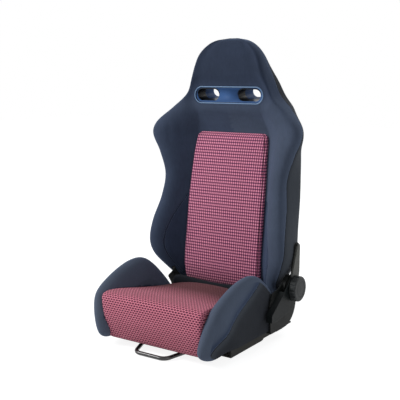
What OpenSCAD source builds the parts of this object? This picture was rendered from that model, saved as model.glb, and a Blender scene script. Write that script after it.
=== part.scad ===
// Reclining racing seat on slide rails: bucket cushion, high winged backrest with a fixed head
// section and two belt slots, knob recliner, sprung slide-release bar.
// Millimetres. +Z up, the seat faces -Y, +X is the recliner knob's side.
// Z = 0 is the floor; X = Y = 0 is the centre of the four floor bolts.

/* [Backrest] */
// height of the top of the head section above the floor
seat_height = 893; // [860:930]
// how far the wings and the head stand out, against the drawn seat
back_width_factor = 1.0; // [0.94:0.01:1.06]
// depth of the hollow that takes the steel frame
back_cavity_depth = 36; // [26:42]
// how far the middle pad stands proud of the foam round it
back_pad_proud = 14; // [8:20]

/* [Belt slots] */
// height of the slots' centre
slot_z = 720; // [700:740]
// width of the bezel round both slots
bezel_width = 250; // [240:265]
// height of the bezel
bezel_height = 54; // [48:66]
// width of one slot
slot_width = 80; // [66:84]
// height of one slot
slot_height = 36; // [30:42]
// distance from the centre line to a slot's centre
slot_x = 74; // [66:0.5:78]

/* [Cushion] */
// height of the middle pad's top at the front
cushion_top = 160; // [145:170]
// underside of the foam, on the pan
foam_base = 42; // [40:48]
// outer half width over the side bolsters
bolster_out = 223; // [215:230]

/* [Floor rails] */
// centre of each rail from the centre line
rail_x = 168; // [160:176]
// front end of the rails
rail_front = -185; // [-200:-170]
// rear end of the rails
rail_rear = 125; // [110:140]
// sheet thickness of the rails
rail_t = 2.5; // [2:0.5:3]
// slide travel each way
slide_travel = 90; // [60:100]
// floor bolt distance across the seat
bolt_pitch_x = 264; // [240:280]
// floor bolt distance front to back
bolt_pitch_y = 210; // [190:220]
// floor bolt hole diameter
bolt_hole_d = 8.5; // [8.4:0.1:10.5]

/* [Recliner] */
// pivot, front to back
pivot_y = 67; // [60:75]
// pivot height
pivot_z = 154; // [145:165]
// recliner disc diameter
disc_d = 74; // [66:80]
// knob diameter
knob_d = 76; // [70:82]
// knob height off the cover
knob_h = 21.5; // [18:25]
// flutes round the knob
knob_flutes = 14; // [10:20]

/* [Release bar] */
// bar diameter
bar_d = 12; // [10:13]
// half width of the loop's straight front
bar_half = 34; // [30:44]
// front of the loop, centre of the bar
bar_front = -310; // [-316:-304]

/* [Hidden] */
$fn = 48;
e = 0.01;              // overlap of cutting tools past a face
fit = 0.1;             // radial clearance of turning pins
gap = 0.3;             // clearance between parts that move past each other

// colours
c_steel = [0.16, 0.17, 0.17];
c_zinc = [0.55, 0.56, 0.55];
c_cloth = [0.13, 0.16, 0.23];
c_check = [0.62, 0.20, 0.30];
c_plastic = [0.22, 0.25, 0.26];
c_trim = [0.20, 0.25, 0.33];

// ---- smooth surfaces -------------------------------------------------------------------
// quadratic B-spline span between the control points a, b, c
function span(a, b, c, t) = 0.5*(1-t)*(1-t)*a + (0.5 + t*(1-t))*b + 0.5*t*t*c;
// closed curve round the control points P, n points a span
function closed_curve(P, n) = let (m = len(P))
  [for (i = [0:m-1], k = [0:n-1]) span(P[(i+m-1)%m], P[i], P[(i+1)%m], k/n)];
// open curve that starts and ends on the first and last control point
function open_curve(P, n) = let (m = len(P),
    Q = concat([2*P[0]-P[1]], P, [2*P[m-1]-P[m-2]]))
  concat([for (i = [1:m], k = [0:n-1]) if (i > 1 || 2*k >= n)
      i == 1 ? span(Q[0], Q[1], Q[2], k/n) : span(Q[i-1], Q[i], Q[i+1], k/n)
      ], [P[m-1]]);
// row of the station table T at height h, blended by cubic Hermite spans
function slope(T, k) = let (n = len(T)-1)
  k == 0 ? (T[1]-T[0])/(T[1][0]-T[0][0])
  : k == n ? (T[n]-T[n-1])/(T[n][0]-T[n-1][0])
  : (T[k+1]-T[k-1])/(T[k+1][0]-T[k-1][0]);
function find_span(T, h, k = 0) = k >= len(T)-2 || h < T[k+1][0] ? k : find_span(T, h, k+1);
function station(T, h) = let (k = find_span(T, h), w = T[k+1][0]-T[k][0], t = (h-T[k][0])/w,
    t2 = t*t, t3 = t2*t)
  (2*t3-3*t2+1)*T[k] + (t3-2*t2+t)*w*slope(T, k) + (3*t2-2*t3)*T[k+1] + (t3-t2)*w*slope(T, k+1);

// skin of quads split into triangles over closed rings, a fan on each end; shift moves the
// fans' centres from the rings' mean points
module skin(rings, shift = [0, 0, 0]) {
  n = len(rings);
  m = len(rings[0]);
  mid = function (r) [for (a = [0:2]) let (s = [for (p = r) p[a]]) sum(s)/m];
  pts = concat([for (r = rings) each r], [mid(rings[0])+shift, mid(rings[n-1])+shift]);
  side = [for (i = [0:n-2], j = [0:m-1]) let (a = i*m+j, b = i*m+(j+1)%m)
    each [[a, b, b+m], [a, b+m, a+m]]];
  ends = [for (j = [0:m-1]) each [[n*m, (j+1)%m, j],
    [n*m+1, (n-1)*m+j, (n-1)*m+(j+1)%m]]];
  polyhedron(points = pts, faces = concat(side, ends), convexity = 10);
}
function sum(v, i = 0) = i >= len(v) ? 0 : v[i] + sum(v, i+1);
function reversed(v) = [for (i = [len(v)-1:-1:0]) v[i]];
function mirrored(P) = concat(P, [for (i = [len(P)-1:-1:0]) if (P[i][0] > e) [-P[i][0], P[i][1]]]);

// ---- backrest sections -------------------------------------------------------------------
// [z, half width, back corner x, back y, ridge y, groove x, groove y]
back_table = [
  [100, 146, 136, 135, 110, 122, 106],
  [112, 172, 152, 137, 100, 134,  96],
  [128, 193, 168, 139,  82, 140,  84],
  [160, 206, 194, 148,  46, 141,  70],
  [210, 236, 214, 152,  10, 142,  66],
  [255, 247, 224, 153,   0, 142,  70],
  [320, 238, 228, 155,   6, 141,  79],
  [400, 222, 230, 162,  36, 140,  89],
  [470, 217, 228, 168,  50, 137, 100],
  [540, 238, 222, 172,  48, 134, 112],
  [598, 263, 204, 175,  44, 129, 124],
  [635, 253, 198, 177,  54, 120, 114],
  [680, 202, 194, 178,  74, 110,  95],
  [720, 156, 166, 178,  82, 100,  87],
  [765, 136, 140, 177,  82,  90,  86],
  [810, 121, 108, 175,  82,  75,  84],
  [845, 106,  84, 172,  86,  55,  86],
  [872,  80,  62, 164,  94,  36,  93],
  [887,  50,  38, 154, 104,  20, 103],
  [893,  14,   9, 138, 124,   3, 123]];
cavity_top = 846;
function stretch(z) = z < 600 ? z : 600 + (z-600)*(seat_height-600)/293;
// half width of the frame hollow and its depth at height z
function cavity_x(z) = let (s = station(back_table, z)) max(6, min(184, s[2]-22, s[1]-40));
function cavity_d(z) = z > cavity_top ? 0.4
  : min(back_cavity_depth, 0.4 + (cavity_top-z)*0.9, station(back_table, z)[3]
    - station(back_table, z)[6] - 22);
function back_row(z) = let (s = station(back_table, z), f = back_width_factor,
    w = s[1]*f, xc = s[2]*f, yb = s[3], yr = s[4], xi = s[5], yf = s[6],
    a = min(6, xi*0.5),
    half = [[0, yf], [xi-a, yf], [xi+a, yf], [0.675*w+0.25*xi-4, yr+2], [w-2, yr-4],
      [w+2, yr+0.34*(yb-yr)], [xc+0.5*(w-xc)-1, yb-0.22*(yb-yr)], [xc-8, yb+1]],
    xk = cavity_x(z), yc = yb-cavity_d(z),
    lip = max(xk+2, xc-22),
    front = open_curve(concat([[lip, yb]], [for (i = [7:-1:0]) half[i]],
      [for (i = [1:7]) [-half[i][0], half[i][1]]], [[-lip, yb]]), 2),
    rear = [[-xk, yb], [-xk, yc+7*min(1, cavity_d(z)/12)], [-xk+10, yc], [0, yc], [xk-10, yc],
      [xk, yc+7*min(1, cavity_d(z)/12)], [xk, yb]])
  [for (p = concat(front, rear)) [p[0], p[1], stretch(z)]];
back_levels = [100, 107, 121, 142, 162, 185, 210, 235, 262, 295, 340, 390, 435, 480, 520,
  555, 582, 602, 624, 650, 676, 702, 735, 775, 815, 840, 858, 876, 888, 893];
// cap of a section that bends round the hollow: strips from the front curve to the rear one
module back_skin(rings, nf) {
  n = len(rings);
  m = len(rings[0]);
  nr = m - nf;
  pts = [for (r = rings) each r];
  side = [for (i = [0:n-2], j = [0:m-1]) let (a = i*m+j, b = i*m+(j+1)%m)
    each [[a, a+m, b+m], [a, b+m, b]]];
  q = function (i) m-1-floor(i*(nr-1)/(nf-1)+0.5);
  cap = function (o, up) [for (i = [0:nf-2]) each concat(
    [up ? [o+i, o+q(i), o+i+1] : [o+i, o+i+1, o+q(i)]],
    q(i) == q(i+1) ? [] : [up ? [o+i+1, o+q(i), o+q(i+1)] : [o+i+1, o+q(i+1), o+q(i)]])];
  polyhedron(points = pts, faces = concat(side, cap(0, false), cap((n-1)*m, true)),
    convexity = 10);
}

// ---- cushion shapes ------------------------------------------------------------------------
// side outline of the middle pad: [y, z on the centre line, drop at the side, half width], and
// the way inwards, [y, z], where it isn't towards the middle
pad_rise = cushion_top - 160;
pad_outline = [[14, 128, 12, 154], [2, 143, 26, 158], [-60, 146, 22, 164], [-150, 152, 10, 168],
  [-230, 162+pad_rise, 4, 172], [-287, 167+pad_rise, 3, 174], [-309, 160+pad_rise, 2, 175],
  [-315, 144, 0, 173], [-311, 100, 0, 170], [-300, 60, 0, 166, 1, 0.1], [-293, 25, 0, 163, 0.45, 0.9],
  [-276, 26, 0, 161, -0.3, 0.95], [-264, foam_base, 0, 159, -0.05, 1], [-248, foam_base, 0, 158, 0, 1],
  [-120, foam_base, 0, 156],
  [8, foam_base, 0, 152], [17, 80, 0, 152]];
pad_rows = [[-1, 16], [-1, 6], [-0.985, 1.5], [-0.93, 0], [-0.75, 0], [-0.4, 0], [0, 0],
  [0.4, 0], [0.75, 0], [0.93, 0], [0.985, 1.5], [1, 6], [1, 16]];
pad_fan = [0, -48, -8];      // puts the end fans' centres over the front lip
function pad_ring(t, inset, grow = 0) = closed_curve([for (p = reversed(pad_outline))
  let (q = [p[0], p[1]-p[2]*pow(abs(t), 2.5)], m = [-130, 96]-q,
    u = len(p) > 4 ? [p[4], p[5]] : m/norm(m), r = q+(inset-grow)*u)
  [t*(p[3]+grow), r[0], r[1]]], 2);

// side outline of a bolster: [y, z, inward y, inward z]
bolster_outline = [[-292, 20, 0.6, 0.5], [-323, 38, 1.0, 0.3], [-321, 98, 1.0, -0.25],
  [-300, 158, 0.80, -0.60], [-234, 196, 0.45, -0.90], [-150, 223, 0.15, -1.0],
  [-84, 222, -0.15, -1.0], [-32, 189, -0.7, -0.7], [26, 134, -0.75, -0.55], [60, 92, -0.9, -0.1],
  [48, foam_base, -0.5, 0], [-120, foam_base, 0, 0], [-236, foam_base, 0, 0],
  [-256, foam_base, 0.2, 0], [-274, 26, 0.3, 0.3]];
// the whole section leans inwards towards the tip at the front of the underside
function tip_lean(y, z) = -26*pow(min(1.05, max(0, (-y-0.9*z-150)/130)), 1.5);
// the section from the inner edge over the crest to the flat outer side: [x, inset]
bolster_section = [[-63, 62], [-58, 42], [-51, 24], [-42, 11], [-32, 3.5], [-23, 0],
  [-15, 1.5], [-8.5, 7], [-3.5, 17], [-0.5, 30], [0.5, 44]];
function bolster_ring(x, inset, shrink = 0) = let (c = [-125, 110],
    r = closed_curve([for (p = bolster_outline) [p[0]+inset*p[2], p[1]+inset*p[3]]], 3))
  [for (p = r) let (q = c+(p-c)*(1-shrink)) [bolster_out+x+tip_lean(q[0], q[1]), q[0], q[1]]];
// the roll behind the pad, half its length and its section [y, z]
tail_half = 158;
tail_outline = [[37, 122], [30, 134], [20, 133], [15.8, 122], [15.8, 60], [24, 45], [33, 52],
  [37, 72]];
function tail_ring(t, inset) = closed_curve([for (p = reversed(tail_outline))
  let (c = [26, 92], d = norm(p-c), q = c+(p-c)*(1-inset/d)) [t*tail_half, q[0], q[1]-9*t*t]], 2);

// ---- helpers -------------------------------------------------------------------------------
module left() { mirror([1, 0, 0]) children(); }
// straight tube or rod from a to b
module rod(a, b, r, bore = 0) {
  d = b-a;
  h = norm(d);
  translate(a) rotate([0, acos(d[2]/h), atan2(d[1], d[0])]) difference() {
    cylinder(r = r, h = h);
    if (bore > 0) translate([0, 0, -1]) cylinder(r = bore, h = h+2);
  }
}
// plate with the outline P of [y, z] points between x0 and x1
module yz_plate(P, x0, x1) {
  translate([x0, 0, 0]) rotate([90, 0, 90]) linear_extrude(x1-x0) polygon(P);
}
// points of an arc in the y-z plane, angles from +y towards +z
function arc(y, z, r, a0, a1, n) = [for (i = [0:n]) let (a = a0+(a1-a0)*i/n)
  [y+r*cos(a), z+r*sin(a)]];
module x_rod(x0, x1, y, z, r) { translate([x0, y, z]) rotate([0, 90, 0]) cylinder(r = r, h = x1-x0); }

// ---- floor rails ---------------------------------------------------------------------------
rail_w = 39;                 // lower rail, outside
rail_z = 3;                  // underside of the lower rail
rail_top = 24;
lip = 7.5;
tray_t = 2.5;
strap_t = 3;
strap_w = 40;
neck_w = 14;
flange_w = 30;
flange_z = 8;
head_z = 31;
head_top = 34;

strap_end = rail_x+rail_w/2-1.5;
module floor_strap(y0) {
  color(c_steel) difference() {
    translate([-strap_end, y0-strap_w/2, 0]) cube([2*strap_end, strap_w, strap_t]);
    for (s = [-1, 1]) translate([s*bolt_pitch_x/2, y0, -1]) cylinder(d = bolt_hole_d, h = strap_t+2);
    for (x = [-60, 60]) translate([x, y0, -1]) cylinder(d = 22, h = strap_t+2);
  }
}
module floor_strap_front() { floor_strap(-bolt_pitch_y/2); }
module floor_strap_rear() { floor_strap(bolt_pitch_y/2); }

// pressed shoe that hugs the front half of the lower rail and stands on the floor
tray_rear = 10;
module foot_tray() {
  side = concat([[rail_front, 0], [tray_rear-24, 0]], arc(tray_rear-24, 24, 24, -90, -30, 6),
    [[tray_rear, 25], [rail_front, 25]]);
  color(c_steel) difference() {
    union() {
      for (x = [rail_x-rail_w/2-tray_t, rail_x+rail_w/2]) yz_plate(side, x, x+tray_t);
      translate([rail_x-rail_w/2, rail_front, 0]) cube([rail_w, tray_rear-24-rail_front, rail_z]);
    }
    translate([rail_x-rail_w/2-tray_t-8, -bolt_pitch_y/2-strap_w/2, -1])
      cube([strap_end-rail_x+rail_w/2+tray_t+8, strap_w, strap_t+1]);
  }
}
module foot_tray_r() { foot_tray(); }
module foot_tray_l() { left() foot_tray(); }

module lower_rail() {
  w = rail_w/2;
  profile = [[-w, 0], [w, 0], [w, 21], [w-lip-rail_t, 21], [w-lip-rail_t, 18.5], [w-rail_t, 18.5],
    [w-rail_t, rail_t], [-w+rail_t, rail_t], [-w+rail_t, 18.5], [-w+lip+rail_t, 18.5],
    [-w+lip+rail_t, 21], [-w, 21]];
  color(c_steel) translate([rail_x, rail_rear, rail_z]) rotate([90, 0, 0])
    linear_extrude(rail_rear-rail_front) polygon(profile);
}
module lower_rail_r() { lower_rail(); }
module lower_rail_l() { left() lower_rail(); }

// ---- upper rails, risers, pan --------------------------------------------------------------
module upper_rail() {
  color(c_zinc) translate([rail_x, rail_rear, 0]) rotate([90, 0, 0])
    linear_extrude(rail_rear-rail_front) difference() {
      union() {
        translate([-flange_w/2, flange_z]) square([flange_w, rail_t]);
        for (s = [-1, 1]) translate([s*(flange_w/2-rail_t/2)-rail_t/2, flange_z]) square([rail_t, 9]);
        translate([-neck_w/2, flange_z]) square([neck_w, head_top-flange_z]);
        translate([-18, head_z]) square([36, head_top-head_z]);
      }
      translate([-neck_w/2+rail_t, flange_z+rail_t]) square([neck_w-2*rail_t, head_z-flange_z-rail_t]);
    }
}
module upper_rail_r() { upper_rail(); }
module upper_rail_l() { left() upper_rail(); }

// nylon shoes on the upper rail's flange, which stay in the lower rail over the whole travel
glide_l = 40;
module glides() {
  w = rail_w/2-rail_t-0.2;
  places = [rail_front+slide_travel+glide_l/2, rail_rear-slide_travel-glide_l/2];
  color([0.85, 0.85, 0.80]) for (y = places) translate([rail_x, y+glide_l/2, 0])
    rotate([90, 0, 0]) linear_extrude(glide_l) difference() {
      translate([-w, rail_z+rail_t+0.3]) square([2*w, 15.2]);
      translate([-flange_w/2, flange_z]) square([flange_w, 9]);
      translate([-neck_w/2, flange_z]) square([neck_w, 20]);
    }
}
module glides_r() { glides(); }
module glides_l() { left() glides(); }

pan_z = foam_base-2;         // underside of the pan
pan_front = -246;
pan_rear = 8;
module riser(flange) {
  color(c_steel) union() {
    translate([rail_x-18, -170, head_top]) cube([36, 286, pan_z-head_top]);
    if (flange) translate([rail_x, -30, head_top]) cube([bracket_x0-rail_x, 130, 4]);
  }
}
module riser_r() { riser(true); }
module riser_l() { left() riser(false); }

module seat_pan() {
  color(c_steel) difference() {
    union() {
      translate([-205, pan_front, pan_z]) cube([410, pan_rear-pan_front, 2]);
      translate([-138, pan_front, pan_z-12]) cube([276, 2, 12+e]);
      translate([-138, pan_rear-2, pan_z-12]) cube([276, 2, 12+e]);
    }
    for (x = [-75, 0, 75], y = [-205, -62]) translate([x, y, pan_z-1]) cylinder(d = 40, h = 4);
  }
}
tube_r = 10;
module cross_tube(y) { color(c_steel) rod([-146, y, pan_z-tube_r], [146, y, pan_z-tube_r], tube_r, 8); }
module cross_tube_front() cross_tube(-128);
module cross_tube_rear() cross_tube(-22);

// ---- slide release -------------------------------------------------------------------------
bar_y = -215;                // pivot of the bar
bar_z = 14.5;
bar_low = 7;                 // height of the loop's front
splay = 18.5;                // the legs spread outwards by this angle
pin_r = 4;
bend = 26;                   // bend radius of the loop's corners
bar_run = norm([bar_y-bar_front, bar_z-bar_low]);
bar_rise = atan2(bar_z-bar_low, bar_y-bar_front);
// [x, distance along the tilted bar] where a corner's bend ends, and the leg's x at the pivot
bend_end = [bar_half + bend*cos(splay), bend*(1-sin(splay))];
leg_x = bend_end[0] + tan(splay)*(bar_run-bend_end[1]);
leg_over = 45;               // the legs run on past the pivot
bracket_leg = 103;
module bar_bracket() {
  color(c_steel) difference() {
    union() {
      yz_plate(concat([[bar_y+11, pan_z], [bar_y-11, pan_z]], arc(bar_y, bar_z, 8, 180, 360, 12)),
        bracket_leg, bracket_leg+3);
      x_rod(leg_x-9, bracket_leg+6, bar_y, bar_z, pin_r);
      x_rod(bracket_leg+3, bracket_leg+6, bar_y, bar_z, 6.5);
    }
  }
}
module bar_bracket_r() { bar_bracket(); }
module bar_bracket_l() { left() bar_bracket(); }
module bar_spring() {
  color(c_zinc) translate([leg_x+9.6, bar_y, bar_z]) rotate([0, 90, 0]) difference() {
    cylinder(r = 6.4, h = bracket_leg-leg_x-9.6-gap);
    translate([0, 0, -1]) cylinder(r = pin_r+0.4, h = 40);
  }
}
module bar_spring_r() { bar_spring(); }
module bar_spring_l() { left() bar_spring(); }

leg_end = [leg_x + tan(splay)*leg_over, bar_y + leg_over*cos(bar_rise),
  bar_z + leg_over*sin(bar_rise)];
module release_bar() {
  r = bar_d/2;
  bite = 0.5;                // the straights start inside the bends, slightly thinner
  leg = (bar_run+leg_over-bend_end[1])/cos(splay);
  color([0.05, 0.05, 0.055]) difference() {
    union() {
      translate([0, bar_front, bar_low]) rotate([bar_rise, 0, 0]) {
        rod([-bar_half-bite, 0, 0], [bar_half+bite, 0, 0], r-0.1);
        for (s = [0, 1]) mirror([s, 0, 0]) {
          translate([bar_half, bend, 0]) rotate([0, 0, -90]) rotate_extrude(angle = 90-splay)
            translate([bend, 0]) circle(r);
          translate([bend_end[0], bend_end[1], 0]) rotate([0, 0, -splay]) rotate([-90, 0, 0])
            translate([0, 0, -bite]) cylinder(r = r-0.1, h = leg+bite);
        }
      }
      for (s = [-1, 1]) translate([s*leg_x-6, bar_y, bar_z]) rotate([0, 90, 0])
        cylinder(r = 8, h = 12);
    }
    for (s = [-1, 1]) translate([s*leg_x-20, bar_y, bar_z]) rotate([0, 90, 0])
      cylinder(r = pin_r+fit, h = 40);
  }
}
// toothed plate on the leg's end that reaches to the rail
module latch_pawl() {
  color(c_zinc) union() {
    translate([leg_end[0]-7, leg_end[1]-12, leg_end[2]+bar_d/2-0.3]) cube([138-leg_end[0]+7, 20, 3]);
    for (y = [-12, -4.5, 3]) translate([138-e, leg_end[1]+y, leg_end[2]+bar_d/2-0.3]) cube([6.2, 5, 3]);
  }
}
module latch_pawl_r() { latch_pawl(); }
module latch_pawl_l() { left() latch_pawl(); }

// ---- cushion ---------------------------------------------------------------------------------
module cushion_pad() {
  color(c_check) skin([for (q = pad_rows) pad_ring(q[0], q[1])], pad_fan);
}
module cushion_tail() {
  color(c_cloth) skin([for (q = [[-1, 9], [-0.995, 4], [-0.975, 1], [-0.93, 0], [-0.6, 0], [-0.2, 0],
    [0.2, 0], [0.6, 0], [0.93, 0], [0.975, 1], [0.995, 4], [1, 9]]) tail_ring(q[0], q[1])]);
}
module cushion_bolster() {
  color(c_cloth) difference() {
    skin(concat([bolster_ring(-63, 62, 0.6)],
      [for (q = bolster_section) bolster_ring(q[0], q[1])],
      [bolster_ring(1, 44, 0.3), bolster_ring(1.5, 44, 0.65)]));
    skin([for (q = pad_rows) pad_ring(q[0], q[1], gap)], pad_fan);
  }
}
module cushion_bolster_r() { cushion_bolster(); }
module cushion_bolster_l() { left() cushion_bolster(); }

// ---- recliner --------------------------------------------------------------------------------
bracket_x0 = 228;
bracket_x1 = 232;
disc_x1 = 243.5;
arm_x0 = 244;
arm_x1 = 248;
cover_x0 = 250.8;
cover_x1 = 253.3;
hub_r = 11;
shaft_r = 5;
fold_front = 15;             // recline range from rest, forwards and back
fold_back = 50;
module recliner_bracket() {
  P = concat([[-34, 34], [50, 34]], arc(50, 106, 72, -90, -5, 10),
    arc(pivot_y, pivot_z, 38, 0, 150, 14), [[10, 161], [-28, 154], [-42, 122], [-38, 84]]);
  color(c_steel) difference() {
    yz_plate(P, bracket_x0, bracket_x1);
    x_rod(220, 240, pivot_y, pivot_z, hub_r+fit);
  }
}
module recliner_disc() {
  color(c_zinc) difference() {
    union() {
      x_rod(bracket_x1, disc_x1-3, pivot_y, pivot_z, disc_d/2);
      x_rod(disc_x1-3-e, disc_x1, pivot_y, pivot_z, disc_d/2-6);
    }
    x_rod(220, 260, pivot_y, pivot_z, hub_r+fit);
  }
}
// hub pressed into the arm; it turns in the disc and the bracket
module pivot_hub() {
  color(c_zinc) difference() {
    union() {
      x_rod(bracket_x0-1, arm_x1, pivot_y, pivot_z, hub_r);
      x_rod(bracket_x0-4, bracket_x0-1+e, pivot_y, pivot_z, hub_r+3);
    }
    x_rod(200, 260, pivot_y, pivot_z, shaft_r+fit);
  }
}

tie_a = [88, 236];           // the two ties from the arm into the frame, [y, z]
module recliner_arm() {
  P = concat(arc(pivot_y, pivot_z, 34, 180, 350, 18), [[104, 190], [107, 262]],
    arc(93, 276, 12, 20, 160, 8), [[60, 200]]);
  color(c_steel) difference() {
    yz_plate(P, arm_x0, arm_x1);
    x_rod(220, 260, pivot_y, pivot_z, hub_r);
  }
}
module arm_tie_r() {
  color(c_steel) union() {
    x_rod(124, arm_x0, tie_a[0], tie_a[1], 8);
    rod([132, tie_a[0], tie_a[1]], [132, 132, tie_a[1]], 7);
  }
}

// ---- plain hinge on the other side, in a pocket of the foam's lower corner ---------------------
hinge_x0 = 172;              // inner face of the hinge's arm
hinge_x1 = hinge_x0+4;
hinge_x2 = hinge_x1+gap;     // inner face of the bracket
hinge_x3 = hinge_x2+4;
hinge_r = 22;
hinge_pin_r = 7;
hinge_tie = [128, 215];      // where the arm meets its tie, [y, z]
// outline of a link round the circles at a and b
function link(a, ra, b, rb) = let (d = b-a, f = atan2(d[1], d[0]), k = acos((ra-rb)/norm(d)))
  concat(arc(a[0], a[1], ra, f+k, f+360-k, 16), arc(b[0], b[1], rb, f-k, f+k, 10));
module hinge_bracket() {
  P = concat([[50, head_top+6], [96, head_top+6], [92, 110]],
    arc(pivot_y, pivot_z, hinge_r, -10, 190, 18),
    [[24, 141], [21, 137], [36, 116], [47, 92], [50, 64]]);
  color(c_steel) left() difference() {
    union() {
      yz_plate(P, hinge_x2, hinge_x3);
      translate([hinge_x2-16, 50, head_top+6]) cube([16+e, 44, 3]);
    }
    x_rod(160, 200, pivot_y, pivot_z, hinge_pin_r+fit);
  }
}
module hinge_pin() {
  color(c_zinc) left() union() {
    x_rod(hinge_x0, hinge_x3+gap+e, pivot_y, pivot_z, hinge_pin_r);
    x_rod(hinge_x3+gap, hinge_x3+gap+3.5, pivot_y, pivot_z, 11);
  }
}
module hinge_arm() {
  color(c_steel) left() difference() {
    yz_plate(link([pivot_y, pivot_z], hinge_r, hinge_tie, 13), hinge_x0, hinge_x1);
    x_rod(160, 200, pivot_y, pivot_z, hinge_pin_r);
  }
}
module arm_tie_l() { color(c_steel) left() x_rod(136, hinge_x0, hinge_tie[0], hinge_tie[1], 8); }
// room in the foam for the hinge over the whole recline
module hinge_pocket() {
  front = -155-fold_front;
  rear = -86+fold_back;
  r = hinge_r+3;
  u = [cos(rear), sin(rear)];
  far = [pivot_y, pivot_z]+r*[cos(rear+90), sin(rear+90)]+130*u;
  P = concat([[pivot_y+120*cos(front), pivot_z+120*sin(front)]],
    arc(pivot_y, pivot_z, r, 360+front, rear+90, 10), [far, [far[0], 60], [-60, 60]]);
  left() {
    yz_plate(P, hinge_x0-0.6, hinge_x3+gap+4.9);
    yz_plate(link([pivot_y, pivot_z], hinge_r+1, hinge_tie, 14), hinge_x0-0.6, hinge_x1+0.8);
  }
}

// outline of the lower cover; its top edge clears the arm's sweep round the pivot
cover_r = 37.5;
lower_outline = concat([[-66, 80], [-36, 79], [20, 86], [60, 96], [88, 116]],
  arc(pivot_y, pivot_z, cover_r, -30, 135, 18), [[9, 155], [-66, 102]]);
module lower_cover() {
  color(c_plastic) difference() {
    union() {
      yz_plate(lower_outline, cover_x0, cover_x1);
      // turned-in edge along the front and the underside
      yz_plate([[9, 155], [-66, 102], [-66, 80], [-36, 79], [20, 86], [20, 89], [-35, 82],
        [-63, 83], [-63, 100.5], [11, 152.6]], 234, cover_x0+e);
    }
    x_rod(240, 260, pivot_y, pivot_z, shaft_r+2);
  }
}

// cover on the arm, split from the lower one along an arc round the pivot
module upper_cover() {
  P = concat(arc(pivot_y, pivot_z, cover_r+1, 112, 42, 8), [[100, 200], [101, 262]],
    arc(93, 276, 8, 10, 170, 8), [[66, 226]]);
  color(c_plastic) union() {
    yz_plate(P, cover_x0, cover_x1);
    yz_plate([[53, 193], [66, 226], [85, 278], [88, 276], [69, 225], [57, 194]], arm_x1,
      cover_x0+e);
    x_rod(arm_x1, cover_x0+e, 84, 215, 4);
    x_rod(arm_x1, cover_x0+e, 93, 262, 4);
  }
}

// ---- recline knob ----------------------------------------------------------------------------
knob_x0 = cover_x1+gap;
module knob_shaft() { color(c_zinc) x_rod(bracket_x0-6, knob_x0+12, pivot_y, pivot_z, shaft_r); }
module recline_knob() {
  r = knob_d/2;
  color(c_plastic) difference() {
    translate([knob_x0, pivot_y, pivot_z]) rotate([0, 90, 0]) rotate_extrude($fn = 96)
      polygon([[0, 0], [r-3, 0], [r, 3], [r, knob_h-4], [r-1.2, knob_h-1.6], [r-3.5, knob_h],
        [0, knob_h]]);
    for (i = [0:knob_flutes-1]) translate([knob_x0-1, pivot_y, pivot_z]) rotate([i*360/knob_flutes, 0, 0])
      translate([0, r+4.2, 0]) rotate([0, 90, 0]) cylinder(r = 6, h = knob_h+3, $fn = 36);
    x_rod(knob_x0-1, knob_x0+12, pivot_y, pivot_z, shaft_r);
    x_rod(knob_x0+knob_h-1.5, knob_x0+knob_h+1, pivot_y, pivot_z, 24);
  }
}
module knob_cap() {
  color(c_trim) translate([knob_x0+knob_h-1.5, pivot_y, pivot_z]) rotate([0, 90, 0])
    rotate_extrude() polygon([[0, 0], [23.8, 0], [23.8, 1], [20, 1.6], [0, 2.0]]);
}

// ---- backrest frame --------------------------------------------------------------------------
up_low = [130, 124, 132];    // lower end of an upright
up_high = [146, 158, 600];
frame_r = 11;
module frame_upright() { color(c_steel) rod(up_low, up_high, frame_r, 9); }
module frame_upright_r() { frame_upright(); }
module frame_upright_l() { left() frame_upright(); }
// rod that runs past both its ends by over, so that it bites into its neighbours
module bite_rod(a, b, r, over) {
  u = (b-a)/norm(b-a);
  rod(a-over*u, b+over*u, r);
}
hoop_gap = 3.5;              // from the hoop to a belt tunnel
module frame_hoop() {
  x = slot_x-slot_width/2-tunnel_wall-9-hoop_gap;
  neck = [x, 160, stretch(676)];
  top = [x, 157, stretch(806)];
  color(c_steel) union() {
    bite_rod([-top[0], top[1], top[2]-4], top-[0, 0, 4], 8, 4);
    for (s = [-1, 1]) {
      n = [s*neck[0], neck[1], neck[2]];
      t = [s*top[0], top[1], top[2]];
      bite_rod([s*up_high[0], up_high[1], up_high[2]], n, 8.5, 4);
      bite_rod(n, t, 9, 5);
    }
  }
}
function upright_at(z) = up_low + (up_high-up_low)*(z-up_low[2])/(up_high[2]-up_low[2]);
module frame_cross(z, r) { p = upright_at(z); color(c_steel) rod([-p[0], p[1], z], p, r); }
module frame_cross_low() { frame_cross(176, 8); }
module frame_cross_top() { frame_cross(566, 8); }
// woven wire mat across the frame
module spring_mat() {
  color(c_zinc) union() {
    for (z = [250:60:490]) let (p = upright_at(z)) rod([-p[0], p[1], z], p, 2.5);
    for (x = [-60, 60]) let (a = upright_at(176), b = upright_at(566))
      rod([x, a[1], 176], [x, b[1], 566], 2.5);
  }
}

// ---- backrest foam, pad, panel ---------------------------------------------------------------
tunnel_tilt = 7;             // the belt tunnels rise to the rear by this angle
// rounded slot of half size a, b
module slot2d(a, b) {
  union() {
    for (s = [-1, 1]) translate([s*(a-b), 0]) circle(b);
    square([2*(a-b), 2*b], center = true);
  }
}
front_y = station(back_table, slot_z)[6]+5;   // face of the front bezel
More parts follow.
